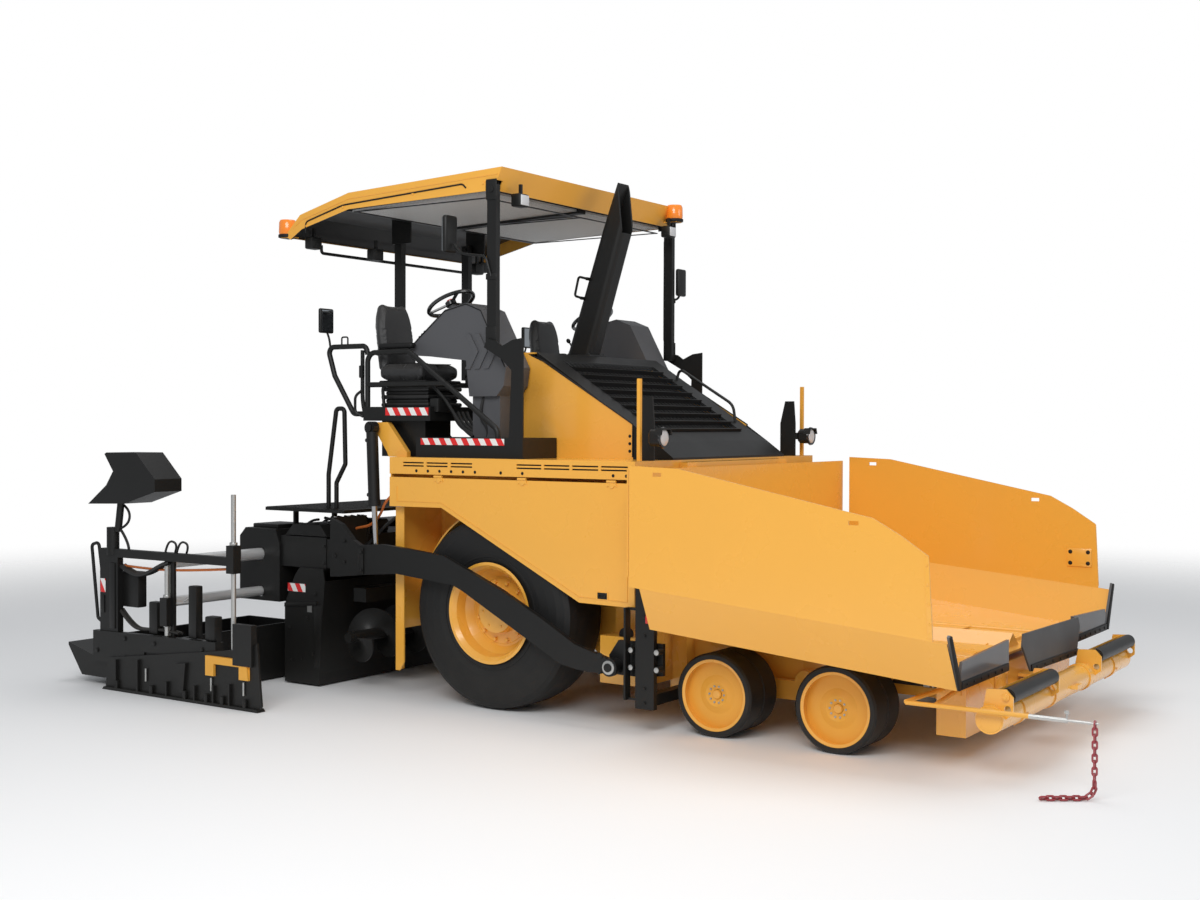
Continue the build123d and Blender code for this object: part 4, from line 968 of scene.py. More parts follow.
class PAVER_OT_flank(bpy.types.Operator):
    """Adds hinge pads, the latch, bolts, a dark sheet of painted shade behind the slots and the tank cap to
    the flanks
    """
    bl_idname = "paver.flank"
    bl_label = "Dress flanks"

    def execute(self, context):
        places = [(first + (last - first) * i / (count - 1), -1.2755, z)
                  for first, last, z, count in FLANK_BOLTS for i in range(count)]
        dress_pair(bolts(places, OUT, 0.008, 0.003), "flank_bolts", "root", "rubber")
        # painted shade: a dark sheet just inside the flank, behind its slots, stands for the shade seen
        # through them
        dark = block((-0.84, -1.262, 1.6), (1.15, -1.259, 1.7))
        dress_pair(dark, "slot_shade", "root", "rubber")
        pads = [rod((x, -1.2755, 1.55), (x, -1.282, 1.55), 0.02, 24, 0.003) for x in HINGES]
        heads = [bolt((x + dx, -1.275, 1.545), OUT, 0.006, 0.004)
                 for x in HINGES for dx in (-0.035, 0.035)]
        dress_pair(pads + heads, "hinge_pads", "side_door_*", "yellow")
        frame_ring = plate([(0.895, 0.87), (0.985, 0.87), (0.985, 0.815), (0.895, 0.815)], "XZ",
                           (-1.279, -1.2745), 0.002,
                           [[(0.903, 0.863), (0.977, 0.863), (0.977, 0.822), (0.903, 0.822)]])
        dish = block((0.903, -1.276, 0.822), (0.977, -1.2748, 0.863))
        pull = bent_tube([(0.915, -1.276, 0.85), (0.915, -1.286, 0.836), (0.965, -1.286, 0.836),
                          (0.965, -1.276, 0.85)],
                         0.004, 0.008)
        dress_pair(frame_ring, "latch_frame", "side_door_*", "yellow")
        dress_pair([dish, pull], "latch_pull", "side_door_*", "black")
        seal = curve_mesh([(x, -1.277, z) for x, z in DOOR_EDGE], "POLY", 0.0022, 1)
        dress_pair(seal, "door_fold", "side_door_*", "yellow")
        cap = join([rod((0.98, -1.03, 0.575), (0.98, -1.075, 0.575), 0.045, 28, 0.006),
                    block((0.945, -1.082, 0.567), (1.015, -1.072, 0.583), 0.003)])
        dress(cap, "tank_cap", "root", "rubber")
        return {"FINISHED"}


class PAVER_OT_hood(bpy.types.Operator):
    """Adds the hood's edge strips, bolts, mesh and handrail, and the stack's collar"""
    bl_idname = "paver.hood"
    bl_label = "Dress hood"

    def execute(self, context):
        edge = curve_mesh([(-0.03, -0.792, 2.437), (0.125, -0.803, 2.378), (0.865, -0.803, 1.941),
                           (0.865, -0.803, 1.72)],
                          "POLY", 0.006, 2)
        dress_pair(edge, "hood_edge", "root", "rubber")
        rows = [(0.84, -0.801, 1.76 + 0.05 * i) for i in range(3)]
        rows += [(-0.1, -0.801, z) for z in (1.8, 2.1, 2.38)]
        screws = bolts(rows, OUT, 0.008, 0.004)
        dress_pair(screws, "hood_screws", "root", "black")
        wires = []
        for index in range(25):
            y = -0.60 + 0.05 * index
            wires.append(rod((0.13, y, 2.385), (0.98, y, 1.845), 0.0028, 6))
        dress(wires, "grille_wires", "root", "black")
        rail = bent_tube([(0.30, 0.70, 2.26), (0.33, 0.70, 2.37), (0.80, 0.70, 2.09), (0.82, 0.70, 1.96)],
                         0.011, 0.05)
        dress(rail, "hood_rail", "root", "black")
        collar = block((-0.215, -0.11, 2.43), (0.045, 0.11, 2.455), 0.006)
        corners = bolts([(x, y, 2.455) for x in (-0.195, 0.025) for y in (-0.095, 0.095)], UP, 0.008, 0.006)
        dress([collar, corners], "stack_collar", "root", "black")
        bed = plate([(0.10, 2.34), (0.13, 2.34), (0.95, 1.80), (0.95, 1.74), (0.10, 2.28)], "XZ",
                    (-0.63, 0.63))
        dress(bed, "grille_bed", "root", "rubber")
        return {"FINISHED"}


# tape strips on the right: low corner, high corner
TAPES = [((-0.974, -1.2035, 1.998), (-0.575, -1.2005, 2.053)),
         ((-0.644, -1.2035, 1.793), (0.092, -1.2005, 1.839))]
# tape patches on an extension's end frame and on the end of the main screed
SCREED_TAPES = [("screed_extension_*", (-2.905, -2.1535, 0.70), (-2.85, -2.1505, 0.80)),
                ("screed", (-1.90, -1.2535, 0.69), (-1.72, -1.2505, 0.75))]


class PAVER_OT_tapes(bpy.types.Operator):
    """Adds the reflective strips"""
    bl_idname = "paver.tapes"
    bl_label = "Add tapes"

    def execute(self, context):
        dress_pair([block(low, high) for low, high in TAPES], "tape", "root", "tape")
        for index, (body, low, high) in enumerate(SCREED_TAPES):
            dress_pair(block(low, high), f"screed_tape_{index}", body, "tape")
        return {"FINISHED"}


# ---- lamps and mirrors --------------------------------------------------------------------
class PAVER_OT_lamps(bpy.types.Operator):
    """Adds the turning lamps, the headlamp lenses and the canopy's working lamps"""
    bl_idname = "paver.lamps"
    bl_label = "Add lamps"

    def execute(self, context):
        domes, bases = [], []
        for x, y, z in ((-2.035, -1.12, 3.342), (0.06, 1.066, 3.558)):
            shape = turned([(0.0005, 0.0), (0.06, 0.0), (0.066, 0.02), (0.064, 0.095), (0.055, 0.113),
                            (0.0005, 0.12)],
                           (0, 0, 0), 36)
            shape.data.transform(Matrix.Translation((x, y, z + 0.02)) @ Matrix.Rotation(math.pi / 2, 4, "X"))
            domes.append(outward(shape))
            bases.append(rod((x, y, z), (x, y, z + 0.024), 0.07, 32, 0.004))
            bases.append(rod((x, y, z + 0.02), (x, y, z + 0.10), 0.02, 16))
        dress(domes, "beacon_domes", "canopy_roof", "orange")
        dress(bases, "beacon_bases", "canopy_roof", "rubber")
        rim = turned([(0.053, -0.006), (0.066, -0.006), (0.069, 0.006), (0.053, 0.006)], (0, 0, 0), 32)
        glass = ball((0, 0, 0), (0.054, 0.014, 0.054), 24)
        turn = Matrix.Translation((1.27, -1.067, 1.854)) @ Matrix.Rotation(math.pi / 2, 4, "Z")
        rim.data.transform(turn)
        glass.data.transform(turn)
        dress_pair(rim, "headlamp_rim", "root", "gloss_black")
        dress_pair(glass, "headlamp_lens", "root", "lamp")
        cases, lenses = [], []
        for x, y, z in ((0.06, -0.98, 3.47), (-1.60, -0.62, 3.235), (-1.86, -1.02, 3.30)):
            cases.append(block((x - 0.045, y - 0.055, z - 0.045), (x + 0.035, y + 0.055, z + 0.045), 0.012))
            cases.append(block((x - 0.01, y - 0.01, z + 0.04), (x + 0.01, y + 0.01, z + 0.11)))
            front = x + 0.034 if x > 0 else x - 0.050
            lenses.append(block((front, y - 0.045, z - 0.035), (front + 0.006, y + 0.045, z + 0.035), 0.004))
        dress_pair(cases, "work_lamp", "canopy_roof", "black")
        dress_pair(lenses, "work_lens", "canopy_roof", "lamp")
        return {"FINISHED"}


class PAVER_OT_mirrors(bpy.types.Operator):
    """Adds the mirrors on the rear arms and on the front posts"""
    bl_idname = "paver.mirrors"
    bl_label = "Add mirrors"

    def execute(self, context):
        shell = block((-1.545, -1.30, 2.60), (-1.515, -1.16, 2.78), 0.013, 3)
        stem = bent_tube([(-1.53, -1.185, 2.50), (-1.53, -1.195, 2.56), (-1.53, -1.23, 2.63)], 0.008, 0.03)
        glass = block((-1.513, -1.288, 2.612), (-1.511, -1.172, 2.768))
        dress_pair([shell, stem], "rear_mirror", "root", "black")
        dress_pair(glass, "rear_mirror_glass", "root", "glass")
        clamp = block((-0.085, -1.182, 2.92), (0.005, -1.172, 2.96), 0.004)
        arm = bent_tube([(-0.04, -1.178, 2.94), (-0.08, -1.185, 3.08), (-0.30, -1.185, 3.11),
                         (-0.36, -1.185, 3.18)],
                        0.009, 0.04)
        shell = block((-0.42, -1.25, 3.12), (-0.375, -1.12, 3.38), 0.02, 3)
        glass = block((-0.4235, -1.238, 3.135), (-0.4195, -1.132, 3.365))
        dress([arm, clamp, shell], "post_mirror_right", "canopy_front_posts", "black")
        dress(glass, "post_glass_right", "canopy_front_posts", "glass")
        clamp = block((-0.085, 1.172, 2.92), (0.005, 1.182, 2.96), 0.004)
        arm = bent_tube([(-0.04, 1.175, 2.94), (0.0, 1.235, 2.96), (0.01, 1.25, 3.05)], 0.009, 0.03)
        shell = block((-0.005, 1.19, 2.98), (0.03, 1.31, 3.20), 0.014, 3)
        glass = block((-0.0085, 1.202, 2.992), (-0.0045, 1.298, 3.188))
        dress([arm, clamp, shell], "post_mirror_left", "canopy_front_posts", "black")
        dress(glass, "post_glass_left", "canopy_front_posts", "glass")
        return {"FINISHED"}


# ---- operator stations ---------------------------------------------------------------------
SEAT_Y = -0.935
# how long air is let into a pad, and how far it may push the cover out
PAD_FRAMES = 20
PAD_REACH = 0.02


def crowned_pad(low, high, push):
    """A closed pad between two corners, blown out by air and pulled in along its edges."""
    pad = block([a + PAD_REACH for a in low], [b - PAD_REACH for b in high], 0.03, 3)
    apply_modifier(pad, "REMESH", mode="VOXEL", voxel_size=0.006)
    before = [vertex.co.copy() for vertex in pad.data.vertices]
    cloth = pick(pad).modifiers.new("Cloth", "CLOTH")
    cloth.settings.use_pressure = True
    cloth.settings.uniform_pressure_force = push
    cloth.settings.effector_weights.gravity = 0
    scene = bpy.context.scene
    scene.frame_start, scene.frame_end = 1, PAD_FRAMES
    for number in range(1, PAD_FRAMES + 1):
        scene.frame_set(number)
    bpy.ops.object.modifier_apply(modifier=cloth.name)
    scene.frame_set(1)
    for vertex, start in zip(pad.data.vertices, before):
        move = vertex.co - start
        if move.length > PAD_REACH:
            vertex.co = start + move.normalized() * PAD_REACH
    return apply_modifier(pad, "SUBSURF", levels=1)


class PAVER_OT_seats(bpy.types.Operator):
    """Makes both seats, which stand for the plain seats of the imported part"""
    bl_idname = "paver.seats"
    bl_label = "Make seats"

    def execute(self, context):
        low, high = SEAT_Y - 0.235, SEAT_Y + 0.235
        cushion = crowned_pad((-1.12, low, 2.245), (-0.66, high, 2.37), 4.0)
        back = crowned_pad((-0.05, SEAT_Y - 0.215, -0.28), (0.05, SEAT_Y + 0.215, 0.27), 4.0)
        for vertex in back.data.vertices:
            if vertex.co.z > 0:
                vertex.co.y = SEAT_Y + (vertex.co.y - SEAT_Y) * (1 - 6.0 * vertex.co.z ** 2)
        lean = Matrix.Translation((-1.125, 0, 2.57)) @ Matrix.Rotation(-0.14, 4, "Y")
        back.data.transform(lean)
        for name, pad in (("cushion", cushion), ("back", back)):
            for piece in dress_pair(pad, f"seat_{name}", "root", "vinyl", angle=60):
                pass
        seams = [curve_mesh([(-1.09, y, 2.372), (-0.9, y, 2.378), (-0.70, y, 2.368)], "NURBS", 0.003)
                 for y in (SEAT_Y - 0.13, SEAT_Y + 0.13)]
        folds = [block((-1.09 + inset, SEAT_Y - 0.19 + inset, z),
                       (-0.64 - inset, SEAT_Y + 0.19 - inset, z + 0.03), 0.012)
                 for z, inset in ((2.06, 0.0), (2.088, 0.024), (2.116, 0.0), (2.144, 0.024), (2.172, 0.0),
                                  (2.20, 0.024))]
        pan = block((-1.10, SEAT_Y - 0.2, 2.225), (-0.66, SEAT_Y + 0.2, 2.25), 0.01)
        dress_pair(folds, "seat_bellows", "root", "bellows")
        rests = [block((-1.08, y - 0.03, 2.475), (-0.76, y + 0.03, 2.515), 0.018, 3)
                 for y in (SEAT_Y - 0.205, SEAT_Y + 0.205)]
        struts = [rod((-1.12, y, 2.44), (-1.06, y, 2.49), 0.014) for y in (SEAT_Y - 0.2, SEAT_Y + 0.2)]
        dress_pair(seams + [pan] + rests + struts, "seat_trim", "root", "rubber")
        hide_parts("seats")
        return {"FINISHED"}


class PAVER_OT_stations(bpy.types.Operator):
    """Adds the lesser rails, hooks, boxes and hoses round the stations"""
    bl_idname = "paver.stations"
    bl_label = "Dress stations"

    def execute(self, context):
        rails = [bent_tube([(-1.185, -1.18, 1.98), (-1.215, -1.18, 2.10), (-1.215, -1.18, 2.47)], 0.015,
                           0.05),
                 bent_tube([(-0.98, -1.14, 1.97), (-1.02, -1.16, 2.02), (-1.04, -1.16, 2.20),
                            (-0.98, -1.16, 2.23)], 0.012, 0.05),
                 bent_tube([(-0.62, -1.12, 2.22), (-0.50, -1.12, 2.12), (-0.32, -1.12, 1.90),
                            (-0.24, -1.12, 1.85)], 0.012, 0.05),
                 bent_tube([(-1.21, -1.19, 2.18), (-1.26, -1.21, 2.14), (-1.26, -1.21, 2.02),
                            (-1.2, -1.19, 1.99)], 0.010, 0.03)]
        hooks = [bent_tube([(-1.36, -1.18, 2.50), (-1.36, -1.18, 2.57), (-1.42, -1.18, 2.57),
                            (-1.42, -1.18, 2.50)], 0.006, 0.015)]
        boxes = [block((-1.235, -1.20, 2.27), (-1.20, -1.17, 2.36), 0.006),
                 block((-0.60, -1.16, 2.02), (-0.52, -1.02, 2.12), 0.012)]
        dress_pair(rails + hooks + boxes, "station_rails", "root", "black")
        bundle = [hose([(-0.50, y, 2.02), (-0.44, y - 0.03, 1.94), (-0.36, y, 1.88), (-0.30, y, 1.85)],
                       0.013)
                  for y in (-1.02, -0.97, -0.92, -0.87)]
        bundle.append(hose([(-1.0, -1.0, 1.96), (-1.06, -1.04, 1.84), (-1.0, -1.08, 1.76),
                            (-0.94, -1.1, 1.71)], 0.012))
        dress_pair(bundle, "station_hoses", "root", "hose")
        return {"FINISHED"}


class PAVER_OT_consoles(bpy.types.Operator):
    """Adds displays, levers, seams and cables to the control pods, and the steering wheels' buttons"""
    bl_idname = "paver.consoles"
    bl_label = "Dress consoles"

    def execute(self, context):
        slope = Matrix.Translation((-0.70, -0.952, 2.615)) @ Matrix.Rotation(-0.665, 4, "Y")
        panel = block((-0.15, -0.10, -0.004), (0.12, 0.10, 0.014), 0.006)
        screen = block((-0.02, -0.08, 0.014), (0.10, 0.06, 0.018), 0.002)
        knobs = join([rod((x, y, 0.012), (x, y, 0.03), 0.009, 16, 0.002)
                      for x in (-0.12, -0.09, -0.06) for y in (-0.07, -0.035, 0.0, 0.035, 0.07)])
        stick = join([rod((-0.1, 0.085, 0.01), (-0.1, 0.085, 0.08), 0.007, 12),
                      ball((-0.1, 0.085, 0.09), (0.017, 0.017, 0.022), 16)])
        for piece in (panel, screen, knobs, stick):
            piece.data.transform(slope)
        dress_pair([panel, knobs, stick], "console_panel", "root", "rubber")
        dress_pair(screen, "console_screen", "root", "screen")
        edge = curve_mesh([(-0.85, -1.092, 2.475), (-0.52, -1.092, 2.73), (-0.33, -1.092, 2.772),
                           (-0.2, -1.092, 2.722), (0.01, -1.092, 2.33)], "POLY", 0.004, 1)
        dress_pair(edge, "console_seam", "root", "rubber")
        cables = [hose([(-0.2, y, 2.14), (-0.24, y - 0.03, 2.0), (-0.16, y, 1.9), (-0.18, y, 1.85)], 0.012)
                  for y in (-1.04, -0.99, -0.93)]
        dress_pair(cables, "console_cables", "root", "hose")
        axis = pivot("wheel_turn_right")
        line = Vector((-0.06, 0, 0.11)).normalized()
        top = axis + line * 0.016
        button = rod(top, top + line * 0.012, 0.026, 24, 0.004)
        dress_pair(button, "wheel_button", "steering_wheel_*", "signal_red")
        return {"FINISHED"}


# ---- hopper and front ----------------------------------------------------------------------
# x and z of the push rollers' pins and of the middle of the push beam
ROLLER_PIN = (3.565, 0.47)
BEAM_CENTRE = (3.488, 0.345)


class PAVER_OT_hopper(bpy.types.Operator):
    """Adds the lips, bolted strips and roller fastenings of the hopper and the push beam"""
    bl_idname = "paver.hopper"
    bl_label = "Dress hopper"

    def execute(self, context):
        lip = plate([(3.222, 1.235), (3.249, 1.235), (3.272, 0.80), (3.245, 0.80)], "XZ", (-1.6035, -1.599),
                    0.001)
        heads = bolts([(3.238 + 0.006 * i, -1.6035, 1.19 - 0.105 * i) for i in range(4)], OUT, 0.007, 0.003)
        pad = block((3.05, -1.589, 0.93), (3.225, -1.576, 1.06), 0.004)
        dress_pair([lip, heads, pad], "wing_lip", "hopper_wing_*", "yellow")
        corners = bolts([(x, -1.5765, z) for x in (3.075, 3.20) for z in (0.955, 1.035)], (0, 1, 0), 0.011,
                        0.004)
        dress_pair(corners, "wing_pad_bolts", "hopper_wing_*", "black")
        strip = block((3.367, -1.43, 0.512), (3.378, -0.66, 0.556), 0.002)
        post = plate([(-1.604, 0.812), (-1.592, 0.822), (-1.448, 0.56), (-1.455, 0.512), (-1.47, 0.512)],
                     "YZ", (3.366, 3.380), 0.002)
        heads = bolts([(3.378, -1.36 + 0.115 * i, 0.534) for i in range(6)], AHEAD, 0.008, 0.004)
        dress_pair([strip, post, heads], "flap_edge", "hopper_wing_*", "rubber")
        strip = plate([(-0.286, 0.459), (0.654, 0.436), (0.672, 0.478), (-0.30, 0.50)], "YZ",
                      (3.387, 3.396), 0.002)
        heads = bolts([(3.396, -0.2 + 0.16 * i, 0.476 - 0.004 * i) for i in range(6)], AHEAD, 0.008, 0.004)
        dress([strip, heads], "apron_edge", "root", "rubber")
        x, z = ROLLER_PIN
        ends = [rod((x, y, z), (x, y - 0.012, z), 0.022, 20, 0.003) for y in (-1.279, -0.457)]
        heads = [bolt((x, y - 0.012, z), OUT, 0.012, 0.006) for y in (-1.279, -0.457)]
        dress_pair(ends + heads, "roller_ends", "push_beam", "yellow")
        x, z = BEAM_CENTRE
        face = rod((x, -1.318, z), (x, -1.3225, z), 0.068, 40, 0.002)
        studs = round_y(bolt((x + 0.088, -0.93, z), AHEAD, 0.007, 0.004), (x, 0, z), 5, 0.2)
        dress_pair([face, studs], "beam_face", "push_beam", "yellow")
        cover = block((3.2415, -0.52, 0.30), (3.25, -0.30, 0.46), 0.003)
        heads = bolts([(3.25, y, z) for y in (-0.50, -0.32) for z in (0.32, 0.44)], AHEAD, 0.009, 0.005)
        side_heads = bolts([(3.09, -0.622, z) for z in (0.22, 0.27, 0.32, 0.37)], OUT, 0.009, 0.005)
        dress_pair([cover, heads, side_heads], "front_box_bolts", "root", "yellow")
        wing_nut = join([rod((3.918, -1.37, 0.412), (3.918, -1.37, 0.436), 0.006, 12),
                         block((3.905, -1.372, 0.434), (3.931, -1.368, 0.452), 0.002)])
        dress(wing_nut, "wing_nut", "root", "zinc")
        ridges = [block((x, -0.56, z), (x + 0.012, -0.13, z + 0.006), 0.002)
                  for x, z in ((2.28, 0.588), (2.70, 0.58))]
        dress_pair(ridges, "lid_seams", "root", "yellow")
        flow = [rod((x, -0.11, 0.57), (x, 0.11, 0.57), 0.006, 8) for x in (3.05, 3.15)]
        dress(flow, "ridge_bars", "root", "yellow")
        lines, nuts = [], []
        for z in (0.50, 0.46, 0.42, 0.38):
            lines.append(hose([(2.66, -0.65, z), (2.80, -0.665, z), (2.93, -0.665, z),
                               (3.06, -0.64, z - 0.01)],
                              0.013))
            nuts.append(rod((2.86, -0.665, z), (2.90, -0.665, z), 0.017, 6))
            nuts.append(rod((2.915, -0.665, z), (2.93, -0.665, z), 0.0165, 6))
        dress_pair(lines, "steer_hoses", "root", "hose")
        dress_pair(nuts, "hose_nuts", "root", "zinc")
        return {"FINISHED"}


# ---- frame and tow arms --------------------------------------------------------------------
# x and z of the pin at the front of a tow arm
TOW_PIN = (1.045, 0.405)
# bolt heads on a tow arm: x, z
ARM_BOLTS = [(-1.42, 0.93), (-1.42, 1.05), (-1.22, 0.95), (-1.22, 1.10), (-1.05, 0.90), (-1.05, 1.03)]


class PAVER_OT_tow(bpy.types.Operator):
    """Adds the pins, washers, bolts, hoses and cables of the tow arms and their guides"""
    bl_idname = "paver.tow"
    bl_label = "Dress tow arms"

    def execute(self, context):
        x, z = TOW_PIN
        washer = rod((x, -1.36, z), (x, -1.368, z), 0.045, 32, 0.002)
        head = rod((x, -1.368, z), (x, -1.378, z), 0.028, 24, 0.003)
        dress_pair(washer, "tow_washer", "screed", "zinc")
        dress_pair(head, "tow_pin_head", "screed", "black")
        strap = block((-1.085, -1.372, 0.87), (-1.035, -1.36, 1.06), 0.004)
        heads = bolts([(x, -1.372 if x == -1.05 else -1.36, z) for x, z in ARM_BOLTS], OUT, 0.012, 0.007)
        bushes = [rod((x, -1.36, z), (x, -1.3665, z), 0.02, 24, 0.002)
                  for x, z in ((-1.32, 0.99), (0.98, 0.475))]
        dress_pair([strap, heads] + bushes, "arm_bolts", "screed", "black")
        faces = [rod((x, -1.330, z), (x, -1.3345, z), 0.017, 24, 0.001) for x in (1.19, 1.381)
                 for z in (0.416, 0.525)]
        dress_pair(faces, "carriage_rollers", "tow_carriage_*", "zinc")
        heads = bolts([(1.285, -1.318, z) for z in (0.20, 0.29, 0.62, 0.74, 0.93)], OUT, 0.011, 0.007)
        dress_pair(heads, "guide_bolts", "root", "black")
        socket = join([block((1.30, -1.335, 0.70), (1.352, -1.318, 0.752), 0.004),
                       rod((1.326, -1.335, 0.726), (1.326, -1.343, 0.726), 0.018, 20, 0.002)])
        dress_pair(socket, "level_socket", "root", "signal_red")
        supply = [hose([(1.32, -1.30, 0.78), (1.38, -1.22, 0.86), (1.30, -1.10, 0.90), (1.22, -0.95, 0.86)],
                       0.010),
                  hose([(-0.90, -1.10, 1.30), (-1.02, -1.14, 1.22), (-1.16, -1.12, 1.10),
                        (-1.30, -1.10, 1.02)], 0.012)]
        dress_pair(supply, "supply_hoses", "root", "hose")
        cable = hose([(-0.90, -1.15, 1.46), (-0.99, -1.18, 1.40), (-1.05, -1.17, 1.28), (-1.18, -1.13, 1.20),
                      (-1.30, -1.12, 1.18), (-1.345, -1.11, 1.17)], 0.010)
        dress_pair(cable, "orange_cable", "root", "cable")
        pin = rod((-1.06, -1.284, 1.91), (-1.06, -1.296, 1.91), 0.03, 24, 0.003)
        dress_pair(pin, "lift_pin_head", "root", "black")
        gland = turned([(0.0005, 0), (0.03, 0), (0.03, 0.004), (0.0005, 0.004)], (-1.02, -1.278, 0.985), 24)
        dress_pair(gland, "rod_eye_cap", "lift_rod_*", "black")
        return {"FINISHED"}


# ---- screed --------------------------------------------------------------------------------
# bolt heads on the end plate of the main screed: x, z
END_BOLTS = [(-1.62, 0.68), (-1.70, 0.50), (-1.88, 0.42), (-1.64, 0.24), (-1.86, 0.18), (-1.76, 0.20)]
# bolt heads on the low beam of an extension: x, z
BEAM_BOLTS = [(-2.93, 0.27), (-2.62, 0.38), (-2.62, 0.24), (-2.30, 0.37), (-1.80, 0.37)]


class PAVER_OT_screed(bpy.types.Operator):
    """Adds bolts, covers, hoses and the walkway's tread to the main screed"""
    bl_idname = "paver.screed"
    bl_label = "Dress screed"

    def execute(self, context):
        heads = bolts([(x, -1.25, z) for x, z in END_BOLTS], OUT, 0.013, 0.006)
        frame_edge = plate([(-1.63, 0.60), (-1.55, 0.60), (-1.57, 0.14), (-1.63, 0.14)], "XZ",
                           (-1.254, -1.2495), 0.001)
        step = plate([(-1.93, 0.60), (-1.93, 0.57), (-1.60, 0.60), (-1.60, 0.63)], "XZ", (-1.262, -1.2495),
                     0.002)
        dress_pair([heads, frame_edge, step], "end_bolts", "screed", "black")
        plates = [block((-1.70, -1.2535, 0.545), (-1.655, -1.2495, 0.60)),
                  block((-1.545, -1.14, 1.11), (-1.50, -1.08, 1.15), 0.004)]
        dress_pair(plates, "blank_plates", "screed", "zinc")
        hood = plate([(-1.96, 1.105), (-1.88, 1.19), (-1.60, 1.19), (-1.53, 1.105)], "XZ", (-1.22, -0.80),
                     0.004)
        boxes = [block((-1.90, -0.72, 1.10), (-1.62, -0.45, 1.20), 0.012),
                 block((-2.35, -1.18, 1.14), (-2.08, -0.90, 1.175), 0.008)]
        dress_pair([hood] + boxes, "screed_covers", "screed", "black")
        lines = []
        for index in range(6):
            y = -1.16 + 0.07 * index
            lines.append(hose([(-1.52, y, 0.99), (-1.46, y - 0.01, 1.05), (-1.44, y + 0.02, 1.16),
                               (-1.50, y, 1.23), (-1.62, y + 0.01, 1.24)], 0.011))
        for index in range(4):
            y = -1.0 + 0.16 * index
            lines.append(hose([(-1.99, y, 1.0), (-2.03, y + 0.03, 1.10), (-1.98, y + 0.05, 1.20),
                               (-1.85, y + 0.02, 1.21)],
                              0.010))
        dress_pair(lines, "screed_hoses", "screed", "hose")
        clamps = [rod((-1.50, y, 1.215), (-1.50, y, 1.255), 0.017, 6) for y in (-1.16, -1.02, -0.88)]
        dress_pair(clamps, "hose_fittings", "screed", "zinc")
        bars = [block((-2.14 + 0.03 * i, -1.235, 1.3095), (-2.13 + 0.03 * i, 1.235, 1.3125))
                for i in range(26)]
        dress(bars, "walkway_tread", "screed", "black")
        return {"FINISHED"}


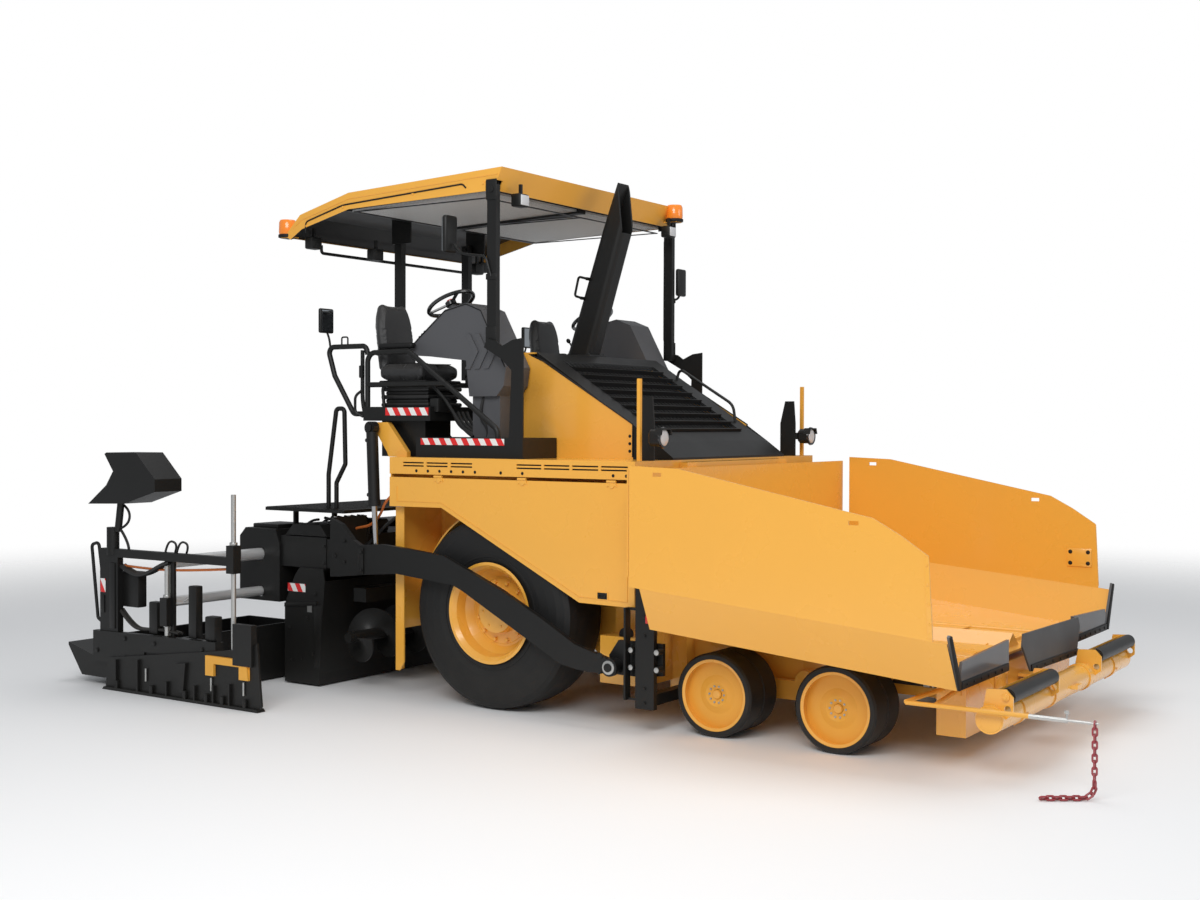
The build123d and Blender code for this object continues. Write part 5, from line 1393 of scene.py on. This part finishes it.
class PAVER_OT_extension(bpy.types.Operator):
    """Adds bolts, studs, boxes, hoses, cables, a crank and the console's screen to the extensions"""
    bl_idname = "paver.extension"
    bl_label = "Dress extensions"

    def execute(self, context):
        heads = bolts([(x, -2.162, z) for x, z in BEAM_BOLTS], OUT, 0.016, 0.007)
        caps = [rod((x, -2.125, z), (x, -2.125, z + 0.022), 0.027, 24, 0.003)
                for x, z in ((-1.525, 1.103), (-2.207, 0.70))]
        column = [block((-2.90, -2.158, 0.55), (-2.86, -2.149, 0.68), 0.003),
                  block((-2.80, -2.158, 0.44), (-2.74, -2.149, 0.92), 0.003)]
        latches = [block((x, -2.178, 0.02), (x + 0.03, -2.2, 0.075), 0.003)
                   for x in (-2.69, -2.31, -1.96, -1.74, -1.58, -1.36)]
        boxes = [block((-2.73, -2.10, 0.60), (-2.55, -2.02, 0.86), 0.01),
                 block((-2.40, -2.13, 0.43), (-2.31, -2.062, 0.66), 0.01),
                 block((-1.98, -2.13, 0.43), (-1.90, -2.065, 0.80), 0.008),
                 block((-1.80, -2.14, 0.43), (-1.70, -2.065, 0.60), 0.01)]
        dress_pair([heads] + column + latches + boxes, "extension_fittings", "screed_extension_*", "black")
        studs = [rod((x, -2.188, 0.10), (x, -2.188, 0.19), 0.007, 10) for x in (-2.36, -1.68, -1.36)]
        crank = bent_tube([(-1.98, -2.08, 0.79), (-1.93, -2.10, 0.80), (-1.97, -2.12, 0.72),
                           (-2.02, -2.13, 0.69)], 0.007, 0.02)
        dress_pair(studs + [crank] + caps, "extension_zinc", "screed_extension_*", "zinc")
        loops = []
        for index in range(2):
            x = -2.18 + 0.12 * index
            loops.append(hose([(x - 0.05, -2.12, 1.02), (x - 0.03, -2.12, 1.08), (x + 0.03, -2.13, 1.11),
                               (x + 0.08, -2.12, 1.08), (x + 0.04, -2.11, 1.02)], 0.008))
        chain = [hose([(-2.73, y, 0.90), (-2.58, y, 0.83), (-2.42, y, 0.86), (-2.28, y, 0.93),
                       (-2.19, y, 0.955)], 0.014)
                 for y in (-2.12, -2.097, -2.074)]
        low = [hose([(-2.73, y, 0.58), (-2.60, y, 0.46), (-2.45, y, 0.45), (-2.30, y + 0.01, 0.47),
                     (-2.1, y + 0.01, 0.45)],
                    0.011) for y in (-2.12, -2.09)]
        coil = [hose([(-2.70, -2.13, 1.16), (-2.64, -2.13, 1.10), (-2.60, -2.13, 1.0),
                      (-2.66, -2.12, 0.98)], 0.010),
                hose([(-2.69, -2.11, 1.34), (-2.62, -2.11, 1.30), (-2.63, -2.12, 1.20),
                      (-2.72, -2.12, 1.17)], 0.009)]
        dress_pair(loops + chain + low + coil, "extension_hoses", "screed_extension_*", "hose")
        cable = [hose([(-2.73, -2.09, 0.90), (-2.45, -2.085, 0.885), (-2.0, -2.085, 0.90),
                       (-1.55, -2.10, 0.94)], 0.009),
                 hose([(-2.90, -2.05, 0.62), (-2.94, -2.02, 0.45), (-2.97, -1.98, 0.33),
                       (-3.02, -1.95, 0.25)], 0.009)]
        dress_pair(cable, "extension_cable", "screed_extension_*", "cable")
        screen = plate([(-2.62, 1.57), (-2.50, 1.57), (-2.46, 1.64), (-2.50, 1.69), (-2.70, 1.69),
                        (-2.66, 1.60)], "XZ",
                       (-2.092, -2.085), 0.001)
        dress_pair(screen, "extension_screen", "screed_extension_*", "screen")
        ribs = [block((-3.30 + 0.04 * i, -2.10, 0.262), (-3.292 + 0.04 * i, -1.51, 0.268)) for i in range(2)]
        dress_pair(ribs, "step_ribs", "screed_extension_*", "black")
        return {"FINISHED"}


# ---- canopy --------------------------------------------------------------------------------
class PAVER_OT_canopy(bpy.types.Operator):
    """Adds the canopy's folds, bolts, clamps, cables, ceiling trim and rear rail"""
    bl_idname = "paver.canopy"
    bl_label = "Dress canopy"

    def execute(self, context):
        fold = curve_mesh([(-1.93, -1.167, 3.40), (-1.85, -1.167, 3.455), (-1.369, -1.167, 3.575),
                           (0.01, -1.167, 3.632)],
                          "POLY", 0.0022, 1)
        dress_pair(fold, "canopy_fold_line", "canopy_roof", "yellow")
        heads = bolts([(x, -1.165, z) for x, z in ((-1.80, 3.41), (-1.42, 3.52), (-0.75, 3.56),
                                                   (-0.12, 3.58))], OUT,
                      0.010, 0.005)
        dress_pair(heads, "canopy_bolts", "canopy_roof", "yellow")
        clamp = join([block((-0.085, -1.182, 3.46), (0.005, -1.172, 3.60), 0.004),
                      rod((-0.04, -1.175, 3.53), (-0.04, -1.19, 3.53), 0.022, 20, 0.003),
                      block((-0.085, -1.182, 2.47), (0.005, -1.1755, 2.60), 0.003)])
        dress_pair(clamp, "post_clamps", "canopy_front_posts", "black")
        wire = hose([(-0.085, -1.15, 2.62), (-0.086, -1.15, 2.9), (-0.084, -1.15, 3.2),
                     (-0.085, -1.15, 3.42)], 0.007)
        dress_pair(wire, "post_cable", "canopy_front_posts", "hose")
        ribs = [block((x, -1.11, 3.484), (x + 0.02, 1.11, 3.49)) for x in (-0.15, -1.36)]
        trim = [block((-1.36, y, 3.484), (-0.13, y + 0.02, 3.49)) for y in (-1.12, -0.045, 0.025, 1.10)]
        dress(ribs + trim, "ceiling_trim", "canopy_roof", "black")
        groove = bent_tube([(-1.80, -1.1665, 3.36), (-1.80, -1.1665, 3.44), (-1.42, -1.1665, 3.535),
                            (-0.30, -1.1665, 3.59), (-0.27, -1.1665, 3.56)], 0.006, 0.03)
        dress_pair(groove, "canopy_groove", "canopy_roof", "rubber")
        rails = [bent_tube([(-1.90, -0.9, 3.30), (-1.90, -0.9, 3.24), (-1.90, 0.9, 3.24),
                            (-1.90, 0.9, 3.30)], 0.012, 0.03)]
        dress(rails, "canopy_rear_rail", "canopy_roof", "black")
        return {"FINISHED"}


# ---- panel and registration -------------------------------------------------------------
OPERATORS = (
    PAVER_OT_paint, PAVER_OT_wheels, PAVER_OT_flank, PAVER_OT_hood, PAVER_OT_tapes, PAVER_OT_lamps,
    PAVER_OT_mirrors, PAVER_OT_seats, PAVER_OT_stations, PAVER_OT_consoles, PAVER_OT_hopper, PAVER_OT_tow,
    PAVER_OT_screed, PAVER_OT_extension, PAVER_OT_canopy, PAVER_OT_stage,
)


class PAVER_PT_panel(bpy.types.Panel):
    """Sidebar panel that lists the steps"""
    bl_idname = "PAVER_PT_panel"
    bl_label = "Asphalt paver"
    bl_space_type = "VIEW_3D"
    bl_region_type = "UI"
    bl_category = "Paver"

    def draw(self, context):
        layout = self.layout
        for group in (context.scene.paver_colours, context.scene.paver_stage):
            for key in group.__annotations__:
                layout.prop(group, key)
        for operator in OPERATORS:
            layout.operator(operator.bl_idname)


GROUP_CLASSES = {"paver_colours": PaverColours, "paver_stage": PaverStage}


def register():
    for name, group in GROUP_CLASSES.items():
        bpy.utils.register_class(group)
        setattr(bpy.types.Scene, name, PointerProperty(type=group))
    for operator in OPERATORS:
        bpy.utils.register_class(operator)
    bpy.utils.register_class(PAVER_PT_panel)


def unregister():
    bpy.utils.unregister_class(PAVER_PT_panel)
    for operator in reversed(OPERATORS):
        bpy.utils.unregister_class(operator)
    for name, group in GROUP_CLASSES.items():
        delattr(bpy.types.Scene, name)
        bpy.utils.unregister_class(group)


def main():
    register()
    for operator in OPERATORS:
        group, name = operator.bl_idname.split(".")
        if getattr(getattr(bpy.ops, group), name)() != {"FINISHED"}:
            raise RuntimeError(f"{operator.bl_idname} did not finish")


if __name__ == "__main__":
    main()
